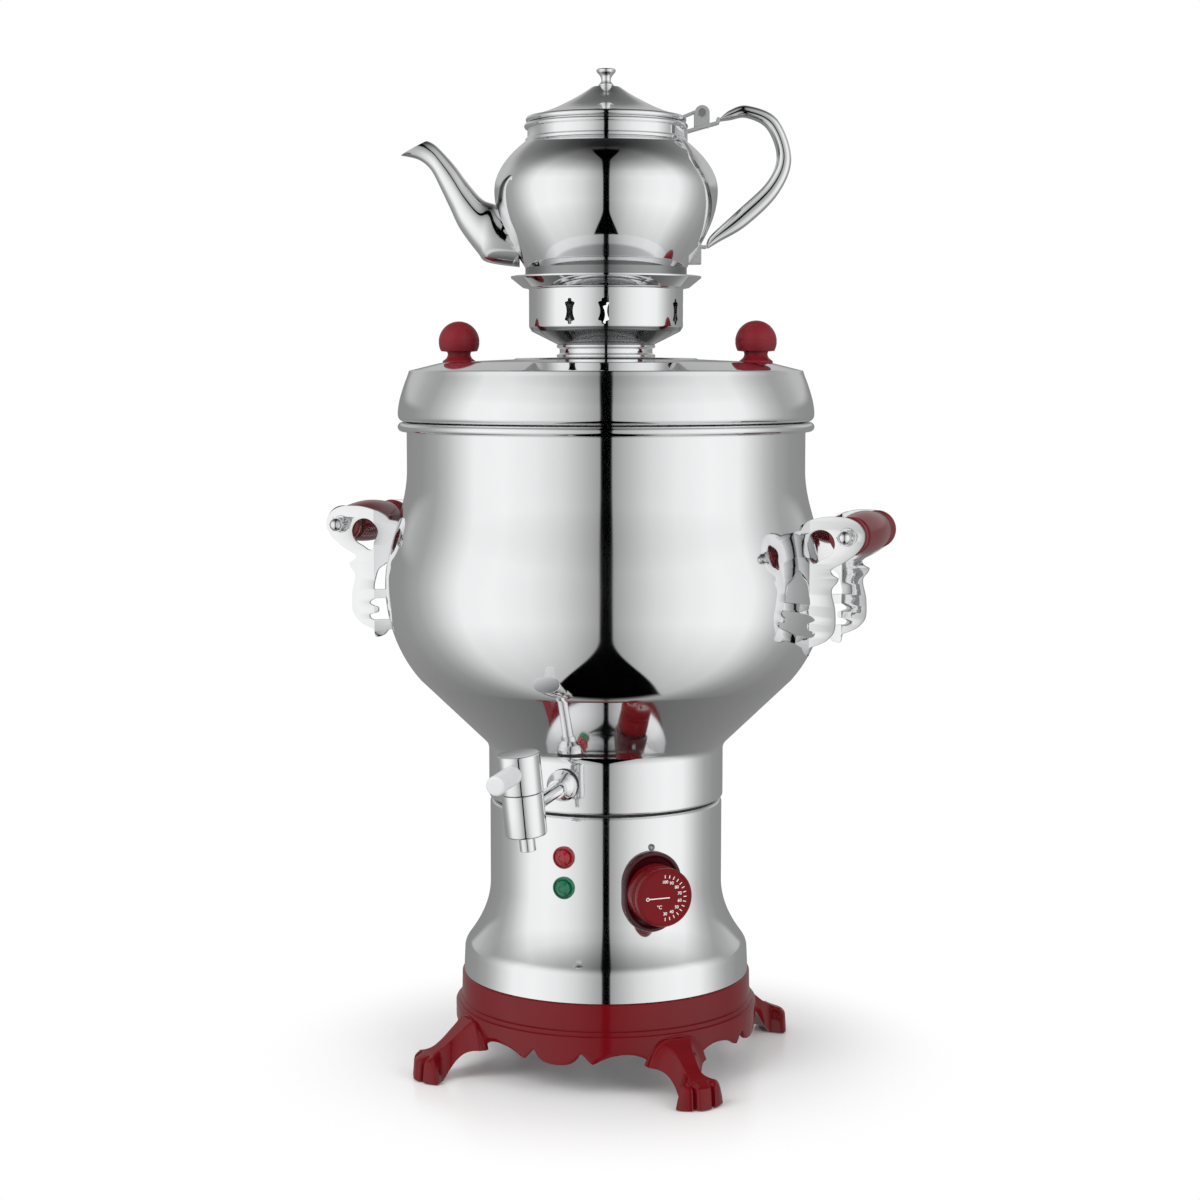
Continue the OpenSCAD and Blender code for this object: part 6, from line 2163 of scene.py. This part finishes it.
    def plates(self, side: int) -> Mesh:
        """Both plates of one side, each folded along an upright line.

        Args:
            side: 1 on the right, -1 on the left.

        Returns:
            The mesh of both.
        """
        pair = []
        for end in (-1, 1):
            y = end * (self.grip_l + self.plate_t) / 2
            mesh = self.shop.stamped(self.outline(y), self.holes(), self.plate_t, self.edge,
                                     "plate")
            with opened(mesh) as work:
                bmesh.ops.bisect_plane(work, geom=[*work.verts, *work.edges, *work.faces],
                                       plane_co=(self.fold_at, 0, 0), plane_no=(1, 0, 0))
            self.fold(mesh, end)
            mesh.transform(shift(self.x, y, self.z)
                           @ about("X", 90))
            if side < 0:
                mesh.transform(Matrix.Scale(-1, 4, (1, 0, 0)))
            pair.append(mesh)
        return self.shop.joined("plates", pair, mend=True)

    def fold(self, mesh: Mesh, end: int) -> None:
        """Turns what lies inward of the fold line about it, towards the other plate.

        Args:
            mesh: the flat plate's mesh.
            end: which end of the grip it stands at, -1 or 1.
        """
        flat = np.zeros(3 * len(mesh.vertices), np.float32)
        mesh.vertices.foreach_get("co", flat)
        co = flat.reshape(-1, 3)
        inward = np.minimum(co[:, 0] - self.fold_at, 0)
        angle = math.radians(self.fold_angle) * end
        co[:, 2] -= np.tan(angle) * inward
        mesh.vertices.foreach_set("co", co.ravel())
        mesh.update()

    def grip(self) -> Shape:
        """A turned grip: end ring, fine lines, groove and a sharp-edged barrel, along its axis.

        Returns:
            The grip along Z.
        """
        h, bore, barrel, r = in_mm(self.grip_l / 2, self.bore_r, self.barrel_r, self.grip_r)
        end = [(bore, h, 0), (9.9, h, 0.4), (10.6, h - 1, 0.5),
               (10.4, h - 3, 0.4), (9.6, h - 3.6, 0.2),
               (9.9, h - 4.4, 0.3), (9.7, h - 5.6, 0.3),
               (9, h - 6.2, 0.2), (9.2, h - 7, 0.2),
               (8.8, h - 9, 0.2), (barrel, h - 9.4, 0.25),
               (barrel + 0.1, h - 10, 0)]
        top = rounded(end, 3)
        t = np.linspace(0, 1, 17)[1:]
        first = barrel + 0.1
        swell = np.stack([first + (r - first) * np.sin(np.pi / 2 * t),
                          (h - 10) * (1 - t)], 1)
        half = chain(top, swell)[::-1]
        profile = chain(half[::-1][:-1] * [1, -1], half)
        return lathe(profile * MM, steps=96)

    def nut(self) -> Shape:
        """A washer and a six-sided cap nut with a domed end.

        The nut's radius is a hexagon's, limited by a chamfer circle near both ends.

        Returns:
            Both, along +Z.
        """
        turn = full_turn(96)
        sixth = np.pi / 3
        hexagon = self.nut_flats / 2 / np.cos(turn % sixth - sixth / 2)
        circle = np.ones_like(turn)
        # Height, and the radius as a circle or as a hexagon limited by a circle
        rows = [(0, 0, 0), (0, 4.9, 0), (0.2, 5, 0), (1, 5, 0), (1.2, 4.8, 0), (1.2, 4.1, 0),
                (1.25, 4.2, 1), (1.6, 4.7, 1), (6.2, 4.7, 1), (6.7, 4.1, 1), (6.8, 3.8, 0)]
        dome = arc((0, 6.8), 3.7, 0, 90, 8)
        rows += [(z, r, 0) for r, z in dome]
        points = []
        for z, r, six in rows:
            reach = np.minimum(hexagon, r * MM) if six else circle * r * MM
            points.append(np.stack([reach * np.cos(turn), reach * np.sin(turn),
                                    circle * z * MM], -1))
        return grid(np.stack(points))


# ---- small pieces


@dataclass
class Hardware:
    """Everything else: copies of the nodes' own shapes with broken edges and real finishes."""

    shop: Workshop

    def build(self) -> None:
        """Dresses each remaining node, with its bevel's width."""
        fine, plain, wide = 0.2 * MM, 0.35 * MM, 0.6 * MM
        plan = (
            (Finish.RUBBER, plain, "foot_pads"),
            (Finish.RUBBER, 0, "seam_gasket tap_washers tap_seals"),
            (Finish.PLATED, fine, "bottom_plate"),
            (Finish.PLATED, 0, "tie_studs"),
            (Finish.PLATED, fine, "stud_nuts inlet_screws"),
            (Finish.PLATED, plain, "thermostat"),
            (Finish.PLATED, fine, "thermostat_screws lid_knob_screws finial_nut"),
            (Finish.PLATED, 0, "grip_rods"),
            (Finish.BLACK, wide, "power_inlet"),
            (Finish.BLACK, 0, "wiring"),
            (Finish.BRASS, fine, "inlet_pins"),
            (Finish.BRASS, 0, "sensor_bulb"),
            (Finish.BRASS, plain, "element_bushings element_nuts tap_nut"),
            (Finish.STEEL, fine, "thermostat_shaft"),
            (Finish.STEEL, 0, "bulb_clip lamp_clips heating_element"),
            (Finish.INSULATOR, plain, "terminal_block thermal_cutout"),
            (Finish.INSULATOR, fine, "lamp_bodies tap_plug"),
            (Finish.SILICONE, 0, "element_gaskets"),
        )
        for finish, bevel, nodes in plan:
            for node in nodes.split():
                self.shop.refined(node, finish, bevel)


def main() -> None:
    """Loads the frame, makes the camera and the studio, then every piece in order."""
    logging.basicConfig(level=logging.INFO, format="%(name)s: %(message)s")
    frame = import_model()
    Studio().build()
    levels = Levels.from_frame()
    shop = Workshop(frame)
    Base(shop, levels).build()
    casing = Casing(shop, levels)
    casing.build()
    Dial(shop, casing).build()
    tank = Tank(shop, levels)
    tank.build()
    Tap(shop, levels, tank.neck_r).build()
    Lid(shop, levels).build()
    Collar(shop, levels).build()
    Teapot(shop, levels).build()
    SideHandles(shop, tank).build()
    Hardware(shop).build()


if __name__ == "__main__":
    main()
